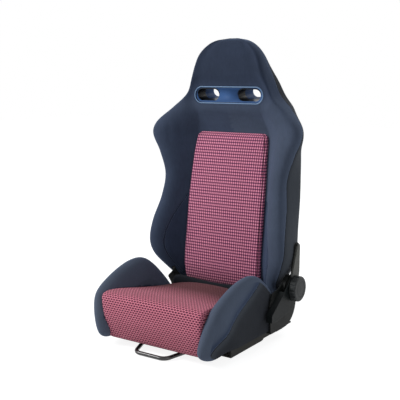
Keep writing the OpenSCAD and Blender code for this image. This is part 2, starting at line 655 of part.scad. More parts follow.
// puts a child that is drawn along +z into the slots' axis, starting deep behind the face
module along_tunnel(deep) {
  translate([0, front_y, stretch(slot_z)]) rotate([90+tunnel_tilt, 0, 0])
    translate([0, 0, -deep]) children();
}
tunnel_wall = 2.5;
tunnel_room = 2.5;           // the foam and the panel are cut wider than the tunnels
plate_t = 7.5;               // depth of the front bezel's rim
recess = 4.5;                // its middle lies deeper than the rim
rim_w = 4.5;
rear_y = station(back_table, slot_z)[3]+11;   // outer face of the rear bezel
rear_seat = rear_y-7.5;      // its plate's seat in the panel
rear_rise = (rear_y-front_y)*tan(tunnel_tilt);
rear_d = (rear_y-front_y)/cos(tunnel_tilt);
// puts a child that is drawn along +z into the bezels' upright plane at y, facing forwards
module upright_face(y, rise = 0) {
  translate([0, y, stretch(slot_z)+rise]) rotate([90, 0, 0]) children();
}
// the room that both tunnels take in the foam and the panel
module tunnels(room) {
  for (s = [-1, 1]) along_tunnel(150) translate([s*slot_x, 0, 0])
    linear_extrude(190) slot2d(slot_width/2+tunnel_wall+room, slot_height/2+tunnel_wall+room);
}
module back_foam() {
  color(c_cloth) difference() {
    back_skin([for (z = back_levels) back_row(z)], len(back_row(200))-7);
    tunnels(tunnel_room);
    upright_face(front_y+plate_t+gap) linear_extrude(60)
      slot2d(bezel_width/2+gap, bezel_height/2+gap);
    hinge_pocket();
  }
}

// [z, front y, half width]
back_pad_table = [[112, 84, 124], [122, 68, 132], [136, 59, 136], [152, 55, 138], [190, 53, 140],
  [300, 65, 139], [400, 77, 138], [525, 97, 133], [590, 113, 128], [604, 119, 125]];
function back_pad_row(z, inset) = let (p = station(back_pad_table, z),
    y = p[1]+14-back_pad_proud, x = p[2]-inset, g = station(back_table, z)[6]+3,
    dip = min(inset, (g-y)*0.4),
    half = [[0, y-4+dip], [x-30, y-1+dip], [x-2, y+dip*0.6], [x, y+min(12, (g-y)*0.7)],
      [x-1, g], [x-10, g+1]])
  [for (p = closed_curve(mirrored(concat(half, [[0, g+1]])), 2)) [p[0], p[1], z]];
module back_pad() {
  levels = [[112, 14], [113.5, 7], [117, 2], [123, 0], [136, 0], [158, 0], [190, 0], [230, 0],
    [270, 0], [310, 0], [350, 0], [400, 0], [450, 0], [490, 0], [525, 0], [560, 0], [585, 0],
    [596, 1], [601, 4], [604, 11]];
  color(c_check) skin([for (q = levels) reversed(back_pad_row(q[0], q[1]))]);
}

// rear panel over the hollow, slightly crowned, wider round the belt tunnels
function panel_x(z) = cavity_x(z)+8+12*exp(-pow((z-750)/45, 2));
module back_panel() {
  cols = [-1, -0.97, -0.85, -0.6, -0.3, 0, 0.3, 0.6, 0.85, 0.97, 1];
  rows = [for (z = [138, 142, 160, 200, 255, 320, 400, 470, 540, 598, 640, 684, 720, 765, 805,
      836, 846, 850])
    let (w = panel_x(z), yb = station(back_table, z)[3]+0.8,
      edge = z < 141 || z > 848, t = edge ? 0.5 : 1, f = edge ? 0.97 : 1)
    concat([for (i = [len(cols)-1:-1:0]) [cols[i]*w*f, yb, stretch(z)]],
      [for (c = cols) [c*w*f, yb+0.6+t*(2+5*(1-c*c)), stretch(z)]])];
  color(c_plastic) difference() {
    skin(rows);
    tunnels(tunnel_room);
    upright_face(rear_y+20, rear_rise) linear_extrude(rear_y+20-rear_seat)
      slot2d(bezel_width/2-6+gap, bezel_height/2+gap);
  }
}

// ---- belt slot bezels ------------------------------------------------------------------------
seam_d = 48;                 // where the front and rear tunnels meet, behind the face
module tunnel_walls(deep, near) {
  for (s = [-1, 1]) along_tunnel(deep) translate([s*slot_x, 0, 0])
    linear_extrude(deep-near) slot2d(slot_width/2+tunnel_wall, slot_height/2+tunnel_wall);
}
module tunnel_bores() {
  for (s = [-1, 1]) along_tunnel(rear_d+20) translate([s*slot_x, 0, 0])
    linear_extrude(rear_d+60) slot2d(slot_width/2, slot_height/2);
}
module bezel_front() {
  a = bezel_width/2;
  b = bezel_height/2;
  color(c_trim) difference() {
    union() {
      upright_face(front_y+plate_t) linear_extrude(plate_t) slot2d(a, b);
      tunnel_walls(seam_d, recess+1);
    }
    tunnel_bores();
    upright_face(front_y+recess) linear_extrude(20) slot2d(a-rim_w, b-rim_w);
  }
}
module bezel_rear() {
  a = bezel_width/2-6;
  b = bezel_height/2;
  color(c_trim) difference() {
    union() {
      upright_face(rear_y, rear_rise) linear_extrude(rear_y-rear_seat) slot2d(a, b);
      tunnel_walls(rear_d-3, seam_d);
    }
    tunnel_bores();
  }
}

// ---- what is drawn ---------------------------------------------------------------------------
floor_strap_front();
floor_strap_rear();
foot_tray_l();
foot_tray_r();
lower_rail_l();
lower_rail_r();
upper_rail_l();
upper_rail_r();
glides_l();
glides_r();
riser_l();
riser_r();
seat_pan();
cross_tube_front();
cross_tube_rear();
bar_bracket_l();
bar_bracket_r();
bar_spring_l();
bar_spring_r();
release_bar();
latch_pawl_l();
latch_pawl_r();
cushion_pad();
cushion_tail();
cushion_bolster_l();
cushion_bolster_r();
recliner_bracket();
recliner_disc();
lower_cover();
hinge_bracket();
pivot_hub();
hinge_pin();
recliner_arm();
hinge_arm();
arm_tie_l();
arm_tie_r();
upper_cover();
frame_upright_l();
frame_upright_r();
frame_hoop();
frame_cross_low();
frame_cross_top();
spring_mat();
back_foam();
back_pad();
back_panel();
bezel_front();
bezel_rear();
knob_shaft();
recline_knob();
knob_cap();
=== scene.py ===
import math

import bpy
import numpy as np
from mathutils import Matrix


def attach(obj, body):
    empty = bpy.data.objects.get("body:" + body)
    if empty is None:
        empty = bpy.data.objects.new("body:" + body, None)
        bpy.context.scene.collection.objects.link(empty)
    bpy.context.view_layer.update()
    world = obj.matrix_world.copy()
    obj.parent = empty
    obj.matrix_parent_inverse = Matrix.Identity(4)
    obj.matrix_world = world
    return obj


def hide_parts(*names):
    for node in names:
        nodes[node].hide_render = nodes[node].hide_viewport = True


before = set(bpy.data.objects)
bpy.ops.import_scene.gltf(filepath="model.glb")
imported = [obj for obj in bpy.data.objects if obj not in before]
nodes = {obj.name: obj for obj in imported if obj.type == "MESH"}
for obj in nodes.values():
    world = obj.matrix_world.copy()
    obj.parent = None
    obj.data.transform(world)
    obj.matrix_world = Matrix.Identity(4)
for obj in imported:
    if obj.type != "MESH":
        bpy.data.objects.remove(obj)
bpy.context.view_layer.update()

# ---- Camera and studio ----
# The seat stands on a plain white floor that runs into a white surround. One large soft box hangs
# in front of it towards -X, a weaker one towards +X, and a third behind gives the edges a line.
bpy.context.scene.view_settings.view_transform = "Standard"
lens = bpy.data.cameras.new("camera")
lens.sensor_width = 36
lens.lens = 69.381
lens.clip_end = 50
camera = bpy.data.objects.new("camera", lens)
camera.location = (1.27257, -1.93421, 0.78275)
camera.rotation_euler = (math.radians(90 - 9.24), 0, math.radians(34.17))
bpy.context.scene.collection.objects.link(camera)
bpy.context.scene.camera = camera


def give(tree, socket, value):
    """Sets an input socket to a number or colour, or joins it to the output that feeds it."""
    if isinstance(value, bpy.types.NodeSocket):
        tree.links.new(value, socket)
    else:
        socket.default_value = value


def wire(tree, kind, values=None, **settings):
    """Adds one shader node. settings are its properties; values are its inputs, by name or place."""
    made = tree.nodes.new("ShaderNode" + kind)
    for key, value in settings.items():
        setattr(made, key, value)
    for key, value in (values or {}).items():
        give(tree, made.inputs[key], value)
    return made


def calc(tree, operation, a, b=0.0, c=0.0, clamp=False):
    """Output of one Math node."""
    return wire(tree, "Math", {0: a, 1: b, 2: c}, operation=operation, use_clamp=clamp).outputs[0]


def soft_box(name, place, aim, size, power):
    """Square area lamp at a place, turned towards a point."""
    lamp = bpy.data.lights.new(name, "AREA")
    lamp.shape = "SQUARE"
    lamp.size = size
    lamp.energy = power
    box = bpy.data.objects.new(name, lamp)
    way = np.array(aim) - np.array(place)
    box.location = place
    box.rotation_euler = (math.acos(-way[2] / np.linalg.norm(way)), 0,
                          math.atan2(way[1], way[0]) - math.pi / 2)
    bpy.context.scene.collection.objects.link(box)


soft_box("key_box", (-2.5, -2.0, 2.3), (0, 0, 0.45), 1.6, 104)
soft_box("fill_box", (3.0, -1.8, 1.3), (0, 0, 0.4), 1.8, 13)
soft_box("back_box", (0.9, 2.6, 2.4), (0, 0, 0.6), 1.4, 26)

world = bpy.data.worlds.new("surround")
bpy.context.scene.world = world
world.use_nodes = True
air = world.node_tree
air.nodes.clear()
path = wire(air, "LightPath")
seen = calc(air, "MAXIMUM", path.outputs["Is Camera Ray"], path.outputs["Is Transmission Ray"])
seen = calc(air, "MAXIMUM", seen, path.outputs["Is Glossy Ray"])
dull = wire(air, "Background", {"Color": (0.93, 0.96, 1.0, 1), "Strength": 0.42})
bright = wire(air, "Background", {"Color": (1, 1, 1, 1), "Strength": 1.0})
both = wire(air, "MixShader", {0: seen, 1: dull.outputs[0], 2: bright.outputs[0]})
wire(air, "OutputWorld", {"Surface": both.outputs[0]})

reach = 9                                       # metres from the middle of the floor to its edges
floor_mesh = bpy.data.meshes.new("floor")
floor_mesh.from_pydata([(-reach, -reach, 0), (reach, -reach, 0), (reach, reach, 0), (-reach, reach, 0)],
                       [], [(0, 1, 2, 3)])
studio_floor = bpy.data.objects.new("floor", floor_mesh)
bpy.context.scene.collection.objects.link(studio_floor)
paint = bpy.data.materials.new("floor_white")
paint.use_nodes = True
tree = paint.node_tree
tree.nodes.clear()
path = wire(tree, "LightPath")
matt = wire(tree, "BsdfDiffuse", {"Color": (0.8, 0.8, 0.8, 1)})
shade = wire(tree, "BsdfDiffuse", {"Color": (0.36, 0.36, 0.36, 1)})
glow = wire(tree, "Emission", {"Color": (1, 1, 1, 1), "Strength": 0.87})
lit = wire(tree, "AddShader", {0: glow.outputs[0], 1: shade.outputs[0]})
seen = calc(tree, "MAXIMUM", path.outputs["Is Camera Ray"], path.outputs["Is Glossy Ray"])
both = wire(tree, "MixShader", {0: seen, 1: matt.outputs[0], 2: lit.outputs[0]})
wire(tree, "OutputMaterial", {"Surface": both.outputs[0]})
floor_mesh.materials.append(paint)

# ---- Floor rails ----
# Two pressed steel channels on two flat straps that take the floor bolts, with a pressed shoe
# round the front half of each channel. They are spot welded, then dipped in satin black paint.


def tint(red, green, blue):
    """Screen colour, 0 to 255, as the shader's linear colour."""
    c = np.array([red, green, blue]) / 255
    c = np.where(c <= 0.04045, c / 12.92, ((c + 0.055) / 1.055) ** 2.4)
    return (float(c[0]), float(c[1]), float(c[2]), 1.0)


def effect(name, inputs, outputs):
    """Empty shader node group; returns it with its input sockets and its output node's sockets."""
    group = bpy.data.node_groups.new(name, "ShaderNodeTree")
    for label, kind, value in inputs:
        socket = group.interface.new_socket(label, in_out="INPUT", socket_type="NodeSocket" + kind)
        if value is not None:
            socket.default_value = value
    for label, kind in outputs:
        group.interface.new_socket(label, in_out="OUTPUT", socket_type="NodeSocket" + kind)
    return group, group.nodes.new("NodeGroupInput").outputs, group.nodes.new("NodeGroupOutput").inputs


def use(tree, group, **values):
    """Places a node group in a tree; an underscore in a value's name stands for a space."""
    made = tree.nodes.new("ShaderNodeGroup")
    made.node_tree = group
    for key, value in values.items():
        give(tree, made.inputs[key.replace("_", " ")], value)
    return made.outputs


def blend_colours(tree, factor, a, b, kind="MIX"):
    """Output of a colour mix of a and b."""
    return wire(tree, "Mix", {0: factor, 6: a, 7: b}, data_type="RGBA", blend_type=kind).outputs[2]


def noise(tree, vector, scale, detail=2.0, roughness=0.5, distortion=0.0):
    """Value of a Noise texture."""
    return wire(tree, "TexNoise", {"Vector": vector, "Scale": scale, "Detail": detail,
                                   "Roughness": roughness, "Distortion": distortion}).outputs["Fac"]


def ramp(tree, value, low, high, start=0.0, end=1.0):
    """A value carried from the span low to high over to the span start to end, and held there."""
    return wire(tree, "MapRange", {0: value, 1: low, 2: high, 3: start, 4: end}).outputs[0]


def raised(tree, height, distance, over=None):
    """Normal of a surface raised by height times distance, over another normal if one is given."""
    values = {"Height": height, "Distance": distance}
    if over is not None:
        values["Normal"] = over
    return wire(tree, "Bump", values).outputs[0]


def finish(name, **plain):
    """New material with one Principled shader; plain are numbers and colours on its own sockets."""
    made = bpy.data.materials.new(name)
    made.use_nodes = True
    shader = made.node_tree.nodes["Principled BSDF"]
    for key, value in plain.items():
        shader.inputs[key.replace("_", " ")].default_value = value
    return made, made.node_tree, shader.inputs


# where an edge rubs through: the rounded normal leaves the plain one near an edge, in patches
edge_rub, given, out = effect("edge_rub", [("Vector", "Vector", None), ("Radius", "Float", 0.0012),
    ("Scale", "Float", 70.0), ("Amount", "Float", None)], [("Mask", "Float"), ("Normal", "Vector")])
rounded = wire(edge_rub, "Bevel", {"Radius": given["Radius"]}, samples=6)
flat = wire(edge_rub, "NewGeometry")
turn = wire(edge_rub, "VectorMath", {0: rounded.outputs[0], 1: flat.outputs["Normal"]},
            operation="DOT_PRODUCT").outputs["Value"]
turn = calc(edge_rub, "MULTIPLY", calc(edge_rub, "SUBTRACT", 1.0, turn), 5.0, clamp=True)
patch = ramp(edge_rub, noise(edge_rub, given["Vector"], given["Scale"], 4.0, 0.65), 0.46, 0.62)
rub = calc(edge_rub, "MULTIPLY", calc(edge_rub, "MULTIPLY", turn, patch), given["Amount"])
give(edge_rub, out["Mask"], rub)
give(edge_rub, out["Normal"], rounded.outputs[0])

# settled dust and handling: slow cloudy change, most on faces that look up
dusting, given, out = effect("dusting", [("Vector", "Vector", None), ("Scale", "Float", 14.0),
    ("Amount", "Float", None)], [("Mask", "Float"), ("Cloud", "Float")])
cloud = noise(dusting, given["Vector"], given["Scale"], 6.0, 0.6)
upward = wire(dusting, "SeparateXYZ", {0: wire(dusting, "NewGeometry").outputs["Normal"]}).outputs[2]
upward = calc(dusting, "MULTIPLY_ADD", calc(dusting, "MAXIMUM", upward, 0.0), 0.7, 0.3)
dust = calc(dusting, "MULTIPLY", ramp(dusting, cloud, 0.4, 0.75), upward)
give(dusting, out["Mask"], calc(dusting, "MULTIPLY", dust, given["Amount"]))
give(dusting, out["Cloud"], cloud)


def painted_steel(name, colour, rubbed, roughness):
    """Dipped paint on steel: orange peel 0.06 mm high, dust, and rubbed edges."""
    made, tree, shader = finish(name, Specular_IOR_Level=0.12)
    spot = wire(tree, "TexCoord").outputs["Object"]
    rub = use(tree, edge_rub, Vector=spot, Amount=0.55)
    dust = use(tree, dusting, Vector=spot, Amount=0.22)
    shown = blend_colours(tree, dust["Mask"], colour, tint(62, 61, 57))
    give(tree, shader["Base Color"], blend_colours(tree, rub["Mask"], shown, rubbed))
    rough = calc(tree, "MULTIPLY_ADD", dust["Cloud"], 0.22, roughness - 0.1)
    give(tree, shader["Roughness"], calc(tree, "MULTIPLY_ADD", dust["Mask"], 0.5, rough, clamp=True))
    give(tree, shader["Normal"], raised(tree, noise(tree, spot, 620.0), 0.00006, rub["Normal"]))
    return made


def dress(material, *names):
    """Gives CAD nodes that keep their own shape a finish."""
    for name in names:
        mesh = nodes[name].data
        mesh.materials.clear()
        mesh.materials.append(material)


def both_sides(*stems):
    """Names of the left and right node of each stem."""
    return [stem + side for stem in stems for side in ("_l", "_r")]


rail_black = painted_steel("rail_black", tint(24, 25, 21), tint(62, 61, 56), 0.46)
dress(rail_black, "floor_strap_front", "floor_strap_rear", *both_sides("foot_tray", "lower_rail"))

# ---- Slides ----
# Black painted upper rails run in the lower ones on white nylon shoes. The latch plates and the
# sleeves on the bar's pins are zinc plated.
dress(rail_black, *both_sides("upper_rail"))


def plated_steel(name, colour, roughness, stretch):
    """Zinc plate: metal with faint spangles and fine drawing lines along the axis whose number in
    stretch is small."""
    made, tree, shader = finish(name, Metallic=1.0)
    spot = wire(tree, "TexCoord").outputs["Object"]
    rub = use(tree, edge_rub, Vector=spot, Amount=0.3)
    dust = use(tree, dusting, Vector=spot, Scale=30.0, Amount=0.3)
    drawn = wire(tree, "Mapping", {"Vector": spot, "Scale": stretch}).outputs[0]
    lines = noise(tree, drawn, 12.0, 4.0)
    cells = wire(tree, "TexVoronoi", {"Vector": spot, "Scale": 240.0}).outputs["Color"]
    shown = blend_colours(tree, 0.10, colour, cells, "SOFT_LIGHT")
    give(tree, shader["Base Color"], blend_colours(tree, dust["Mask"], shown, tint(120, 116, 108)))
    rough = calc(tree, "MULTIPLY_ADD", lines, 0.25, roughness - 0.12)
    give(tree, shader["Roughness"], calc(tree, "ADD", rough, dust["Mask"], clamp=True))
    give(tree, shader["Normal"], raised(tree, lines, 0.00004, rub["Normal"]))
    return made


zinc = plated_steel("zinc_plate", tint(176, 178, 176), 0.38, (60, 3, 60))
dress(zinc, *both_sides("bar_spring", "latch_pawl"))

nylon, tree, shader = finish("white_nylon", Specular_IOR_Level=0.45, Subsurface_Weight=0.1,
                             Subsurface_Radius=(0.002, 0.002, 0.002))
spot = wire(tree, "TexCoord").outputs["Object"]
dust = use(tree, dusting, Vector=spot, Scale=40.0, Amount=0.5)
shown = blend_colours(tree, dust["Mask"], tint(222, 220, 208), tint(150, 146, 134))
give(tree, shader["Base Color"], shown)
give(tree, shader["Roughness"], calc(tree, "MULTIPLY_ADD", dust["Cloud"], 0.3, 0.3))
dress(nylon, *both_sides("glides"))

# ---- Seat base ----
# The risers, the pan with its pressed holes, two cross tubes and the brackets of the release bar
# are welded steel in the same black as the recliner's plates.
base_black = painted_steel("base_black", tint(22, 24, 24), tint(60, 60, 58), 0.5)
dress(base_black, "seat_pan", "cross_tube_front", "cross_tube_rear", "recliner_bracket",
      "hinge_bracket", "recliner_arm", "hinge_arm", *both_sides("riser", "bar_bracket", "arm_tie"))

# ---- Release bar ----
# A bent 12 mm rod, dipped in gloss black enamel, that turns on pins in its two brackets and lifts
# the latch plates. Its gloss is a little cloudy from handling.
gloss_black, tree, shader = finish("gloss_black", Coat_Weight=0.3, Coat_Roughness=0.3,
                                   Specular_IOR_Level=0.5)
spot = wire(tree, "TexCoord").outputs["Object"]
dust = use(tree, dusting, Vector=spot, Scale=26.0, Amount=0.12)
give(tree, shader["Base Color"], blend_colours(tree, dust["Mask"], tint(22, 22, 24), tint(90, 88, 84)))
give(tree, shader["Roughness"], calc(tree, "MULTIPLY_ADD", dust["Cloud"], 0.25, 0.1))
give(tree, shader["Normal"], raised(tree, noise(tree, spot, 420.0), 0.00003))
dress(gloss_black, "release_bar")

# ---- Cushion pad ----
# The middle of the cushion is a moulded foam block under woven check cloth. The cloth comes up the
# front, turns over a soft ridge and runs back under the backrest.
# side outline at the centre line: [y, z, how far z drops at the pad's side, half width]
pad_outline = np.array([[14, 128, 12, 154], [2, 143, 26, 158], [-60, 146, 22, 164], [-150, 152, 10, 168],
    [-230, 162, 4, 172], [-287, 167, 3, 174], [-309, 160, 2, 175], [-315, 144, 0, 173],
    [-311, 100, 0, 170], [-300, 60, 0, 166], [-293, 25, 0, 163], [-276, 26, 0, 161],
    [-264, 42, 0, 159], [-248, 42, 0, 158], [-120, 42, 0, 156], [8, 42, 0, 152],
    [17, 80, 0, 152]], float)
pad_middle = (-130, 96)
lip_points = slice(9, 14)                                # its control points at the front lip
lip_ways = np.array([[1, 0.1], [0.45, 0.9], [-0.3, 0.95], [-0.05, 1], [0, 1]])


def curve(points, n, closed=True):
    """Quadratic B-spline along the first axis, n points to a span: between control points a, b, c
    it runs as half (1-t) squared times a, plus (half + t(1-t)) times b, plus half t squared times
    c. An open curve starts and ends on its first and last control point."""
    if closed:
        a, b, c = np.roll(points, 1, 0), points, np.roll(points, -1, 0)
    else:
        q = np.concatenate([[2 * points[0] - points[1]], points, [2 * points[-1] - points[-2]]])
        a, b, c = q[:-2], q[1:-1], q[2:]
    t = (np.arange(n) / n).reshape((1, n) + (1,) * (points.ndim - 1))
    a, b, c = a[:, None], b[:, None], c[:, None]
    run = 0.5 * (1 - t) ** 2 * a + (0.5 + t * (1 - t)) * b + 0.5 * t * t * c
    run = run.reshape((-1,) + points.shape[1:])
    return run if closed else run[n // 2:len(run) - n // 2 + 1]


def skin(name, points, uv=None, ends="fan", sharp=60, **values):
    """Mesh through a grid of points in millimetres, rows by columns. Quads join each point to the
    next in its row and in its column, and the last column to the first. ends shuts the first and
    last row, with a "fan" to its middle or one "flat" face, or leaves them "open". uv, in metres,
    goes with a fan and has one more column. values are numbers per point, kept as attributes.
    Where the volume that the faces enclose comes out below zero, they are all turned outwards."""
    rows, cols = points.shape[:2]
    i, j = np.meshgrid(np.arange(rows - 1), np.arange(cols), indexing="ij")
    k = (j + 1) % cols
    quads = np.stack([i * cols + j, i * cols + k, (i + 1) * cols + k, (i + 1) * cols + j], -1)
    quads = quads.reshape(-1, 4)
    place = points.reshape(-1, 3) * 0.001
    faces, corners = quads.tolist(), []
    if uv is not None:
        corners = np.stack([uv[i, j], uv[i, j + 1], uv[i + 1, j + 1], uv[i + 1, j]], 2)
        corners = list(corners.reshape(-1, 4, 2))
    if ends == "flat":
        faces += [list(range(cols))[::-1], list(range(rows * cols - cols, rows * cols))]
    if ends == "fan":
        c = np.arange(cols)
        middle = np.stack([place[:cols].mean(0), place[-cols:].mean(0)])
        for row, hub in ((0, rows * cols), (rows - 1, rows * cols + 1)):
            ring = np.stack([c + row * cols, np.full(cols, hub), (c + 1) % cols + row * cols], -1)
            faces += (ring if row == 0 else ring[:, ::-1]).tolist()
            if uv is not None:
                rim = uv[row]
                fan = np.stack([rim[:-1], np.tile(rim.mean(0), (cols, 1)), rim[1:]], 1)
                corners += list(fan if row == 0 else fan[:, ::-1])
        place = np.vstack([place, middle])
    a, b, c, d = place[quads].transpose(1, 0, 2)
    volume = (np.cross(b - a, c - a) * a).sum() + (np.cross(c - a, d - a) * a).sum()
    if volume < 0:
        faces = [face[::-1] for face in faces]
        corners = [corner[::-1] for corner in corners]
    mesh = bpy.data.meshes.new(name)
    mesh.from_pydata(place.tolist(), [], faces)
    mesh.polygons.foreach_set("use_smooth", np.ones(len(faces), bool))
    if uv is not None:
        layer = mesh.uv_layers.new(name="cloth")
        layer.data.foreach_set("uv", np.concatenate(corners).ravel())
    for key, value in values.items():
        value = np.asarray(value, float).reshape(-1)
        if ends == "fan":
            value = np.append(value, [value[:cols].mean(), value[-cols:].mean()])
        mesh.attributes.new(key, "FLOAT", "POINT").data.foreach_set("value", value.astype(np.float32))
    mesh.update()
    mesh.set_sharp_from_angle(angle=math.radians(sharp))
    made = bpy.data.objects.new(name, mesh)
    bpy.context.scene.collection.objects.link(made)
    return made


def steps(points, axis):
    """Distance run along an axis of a grid of points, in metres, from zero."""
    gone = np.linalg.norm(np.diff(points, axis=axis), axis=-1)
    gone = np.cumsum(gone, axis) * 0.001
    pad = [(0, 0), (0, 0)]
    pad[axis] = (1, 0)
    return np.pad(gone, pad)


def joined(points):
    """The grid with its first column once more after its last."""
    return np.concatenate([points, points[:, :1]], 1)


def outward(points, closed=True):
    """Unit normals of a grid of points: the cross product of its differences along both axes."""
    if closed:
        across = np.roll(points, -1, 1) - np.roll(points, 1, 1)
    else:
        across = np.gradient(points, axis=1)
    n = np.cross(across, np.gradient(points, axis=0))
    return n / np.maximum(np.linalg.norm(n, axis=-1, keepdims=True), 1e-9)


def pad_ring(t, inset, n, grow=0.0):
    """Side outline of the pad at the share t of its half width, drawn in by inset towards the
    middle of the side view, or at the front lip along its own ways; the top drops away from the
    centre line by t to the power 2.5. grow makes it larger all round."""
    t, inset = np.asarray(t, float)[:, None], np.asarray(inset, float)[:, None]
    y0, z0, drop, half = pad_outline.T
    z0 = z0 - drop * np.abs(t) ** 2.5
    way = np.stack([pad_middle[0] - y0 + 0 * z0, pad_middle[1] - z0], -1)
    way /= np.linalg.norm(way, axis=-1, keepdims=True)
    way[:, lip_points] = lip_ways
    ring = np.stack([t * (half + grow), y0 + (inset - grow) * way[..., 0],
                     z0 + (inset - grow) * way[..., 1]], -1)
    return curve(ring.transpose(1, 0, 2), n).transpose(1, 0, 2)


def from_half(tree, value):
    """How far the fraction of a value is from a half."""
    return calc(tree, "ABSOLUTE", calc(tree, "SUBTRACT", calc(tree, "FRACT", value), 0.5))


# dark dashes in the middle of each cell and pale floats at its corners, over a fine plain weave;
# Stagger shifts every other row of cells by its share of a cell
woven, given, out = effect("woven_check", [("Vector", "Vector", None), ("Cell", "Vector", None),
    ("Ground", "Color", None), ("Float", "Color", None), ("Dash", "Color", None),
    ("Thread", "Float", 0.0016), ("Stagger", "Float", None)],
    [("Color", "Color"), ("Height", "Float")])
cell = wire(woven, "VectorMath", {0: given["Vector"], 1: given["Cell"]}, operation="DIVIDE").outputs[0]
cell = wire(woven, "SeparateXYZ", {0: cell}).outputs
shift = calc(woven, "MULTIPLY", calc(woven, "MODULO", calc(woven, "FLOOR", cell[1]), 2.0), given["Stagger"])
x = from_half(woven, calc(woven, "ADD", cell[0], shift))
y = from_half(woven, cell[1])
in_row = ramp(woven, y, 0.27, 0.17)
dash = calc(woven, "MULTIPLY", ramp(woven, x, 0.34, 0.24, 0.08, 1.0), in_row)
light = calc(woven, "MULTIPLY", ramp(woven, x, 0.24, 0.32), calc(woven, "SUBTRACT", 1.0, in_row))
pitch = calc(woven, "DIVIDE", math.tau, given["Thread"])
place = wire(woven, "SeparateXYZ", {0: given["Vector"]}).outputs
warp = calc(woven, "SINE", calc(woven, "MULTIPLY", place[0], pitch))
weft = calc(woven, "SINE", calc(woven, "MULTIPLY", place[1], pitch))
thread = calc(woven, "MULTIPLY_ADD", calc(woven, "MULTIPLY", warp, weft), 0.5, 0.5)
fibre = noise(woven, given["Vector"], 900.0)
tone = blend_colours(woven, light, given["Ground"], given["Float"])
tone = blend_colours(woven, dash, tone, given["Dash"])
grey = calc(woven, "ADD", calc(woven, "MULTIPLY_ADD", thread, 0.3, 0.62),
            calc(woven, "MULTIPLY", fibre, 0.34))
shown = wire(woven, "VectorMath", {0: tone, "Scale": grey}, operation="SCALE").outputs[0]
give(woven, out["Color"], shown)
lift = calc(woven, "ADD", calc(woven, "MULTIPLY", light, 0.6), calc(woven, "MULTIPLY", thread, 0.3))
give(woven, out["Height"], calc(woven, "SUBTRACT", lift, calc(woven, "MULTIPLY", dash, 0.35)))


def mark(tree, name):
    """Value of the attribute that a piece's mesh keeps under this name."""
    return wire(tree, "Attribute", attribute_name=name).outputs["Fac"]


def check_cloth(name, cell_size, stagger, ground, floats, dashes):
    """Woven check over foam, patterned on the piece's own cloth coordinates, with a dark line where
    the attribute seam passes zero, and painted shade where the piece's shade attribute is high."""
    made, tree, shader = finish(name, Sheen_Weight=0.15, Sheen_Roughness=0.5, Specular_IOR_Level=0.25,
                                Sheen_Tint=tint(240, 190, 190))
    spot = wire(tree, "TexCoord").outputs
    cloth = use(tree, woven, Vector=spot["UV"], Cell=(cell_size[0], cell_size[1], 1), Ground=ground,
                Float=floats, Dash=dashes, Stagger=stagger)
    wear = use(tree, dusting, Vector=spot["Object"], Scale=9.0, Amount=0.16)
    shown = blend_colours(tree, wear["Mask"], cloth["Color"], tint(176, 120, 120))
    line = ramp(tree, calc(tree, "ABSOLUTE", mark(tree, "seam")), 0.0018, 0.0007)
    # painted shade: the cloth turns deep red where the piece's shade attribute is high
    shown = blend_colours(tree, mark(tree, "soiled"), shown, tint(56, 14, 18))
    give(tree, shader["Base Color"], blend_colours(tree, line, shown, tint(52, 20, 34)))
    give(tree, shader["Roughness"], calc(tree, "MULTIPLY_ADD", cloth["Height"], -0.1, 0.9))
    high = calc(tree, "SUBTRACT", cloth["Height"], calc(tree, "MULTIPLY", line, 1.6))
    give(tree, shader["Normal"], raised(tree, high, 0.0005))
    return made


cushion_check = check_cloth("cushion_check", (0.0098, 0.0068), 0.5, tint(178, 80, 102),
                            tint(240, 160, 180), tint(22, 14, 40))
# rounded side edge: [share of the half width, how far the outline is drawn in]
edge = np.array([[1, 16], [1, 11], [0.999, 6], [0.993, 3], [0.985, 1.5], [0.965, 0.5], [0.93, 0]])
inner = np.linspace(0.93, -0.93, 61)[1:-1]
pad_share = np.concatenate([edge[:, 0], inner, -edge[::-1, 0]])
inset = np.concatenate([edge[:, 1], 0 * inner, edge[::-1, 1]])
shape = pad_ring(pad_share, inset, 10)
ring = joined(shape)
# the cloth's lines follow the middle row and the front column, so they run straight to the edges
middle = len(shape) // 2
front = np.argmin(shape[middle, :, 1])
uv = np.stack(np.broadcast_arrays(steps(ring, 0)[:, [front]], -steps(ring, 1)[[middle]]), -1)
# painted shade: darker towards the rear, in the backrest's shadow, and a little low down on the front face
rearward = np.clip((shape[..., 1] + 235) / 140, 0, 1)
low = np.clip((95 - shape[..., 2]) / 60, 0, 1)
no_seam = 1.0                                            # metres to a sewn line, where there is none
cushion_pad = skin("cushion_pad_cover", shape, uv, seam=np.full(shape.shape[:2], no_seam),
                   soiled=0.9 * rearward ** 1.3 + 0.3 * (1 - rearward) * low)
cushion_pad.data.materials.append(cushion_check)
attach(cushion_pad, "seat_base")
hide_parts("cushion_pad")

# ---- Cushion bolsters and tail ----
# Foam side bolsters under navy velour: an inner band over the crest with a sewn line, and a flat
# outer side of plainer, darker cloth. The tail, the roll behind the pad, wears that darker cloth,
# there darkened to near black as painted shade.
velour_nap, given, out = effect("velour_nap", [("Vector", "Vector", None), ("Color", "Color", None),
    ("Streak", "Float", 0.5)], [("Color", "Color"), ("Height", "Float")])
slow = noise(velour_nap, given["Vector"], 16.0, 5.0, 0.6, 0.4)
brushed = wire(velour_nap, "Mapping", {"Vector": given["Vector"], "Scale": (1.0, 1.0, 0.25)}).outputs[0]
brush = noise(velour_nap, brushed, 190.0, 4.0)
tuft = noise(velour_nap, given["Vector"], 1500.0)
tone = calc(velour_nap, "MULTIPLY", calc(velour_nap, "SUBTRACT", slow, 0.5), given["Streak"])
tone = calc(velour_nap, "ADD", tone, calc(velour_nap, "MULTIPLY_ADD", brush, 0.35, 0.82))
tone = calc(velour_nap, "ADD", tone, calc(velour_nap, "MULTIPLY_ADD", tuft, 0.4, -0.2))
shown = wire(velour_nap, "VectorMath", {0: given["Color"], "Scale": tone}, operation="SCALE").outputs[0]
give(velour_nap, out["Color"], shown)
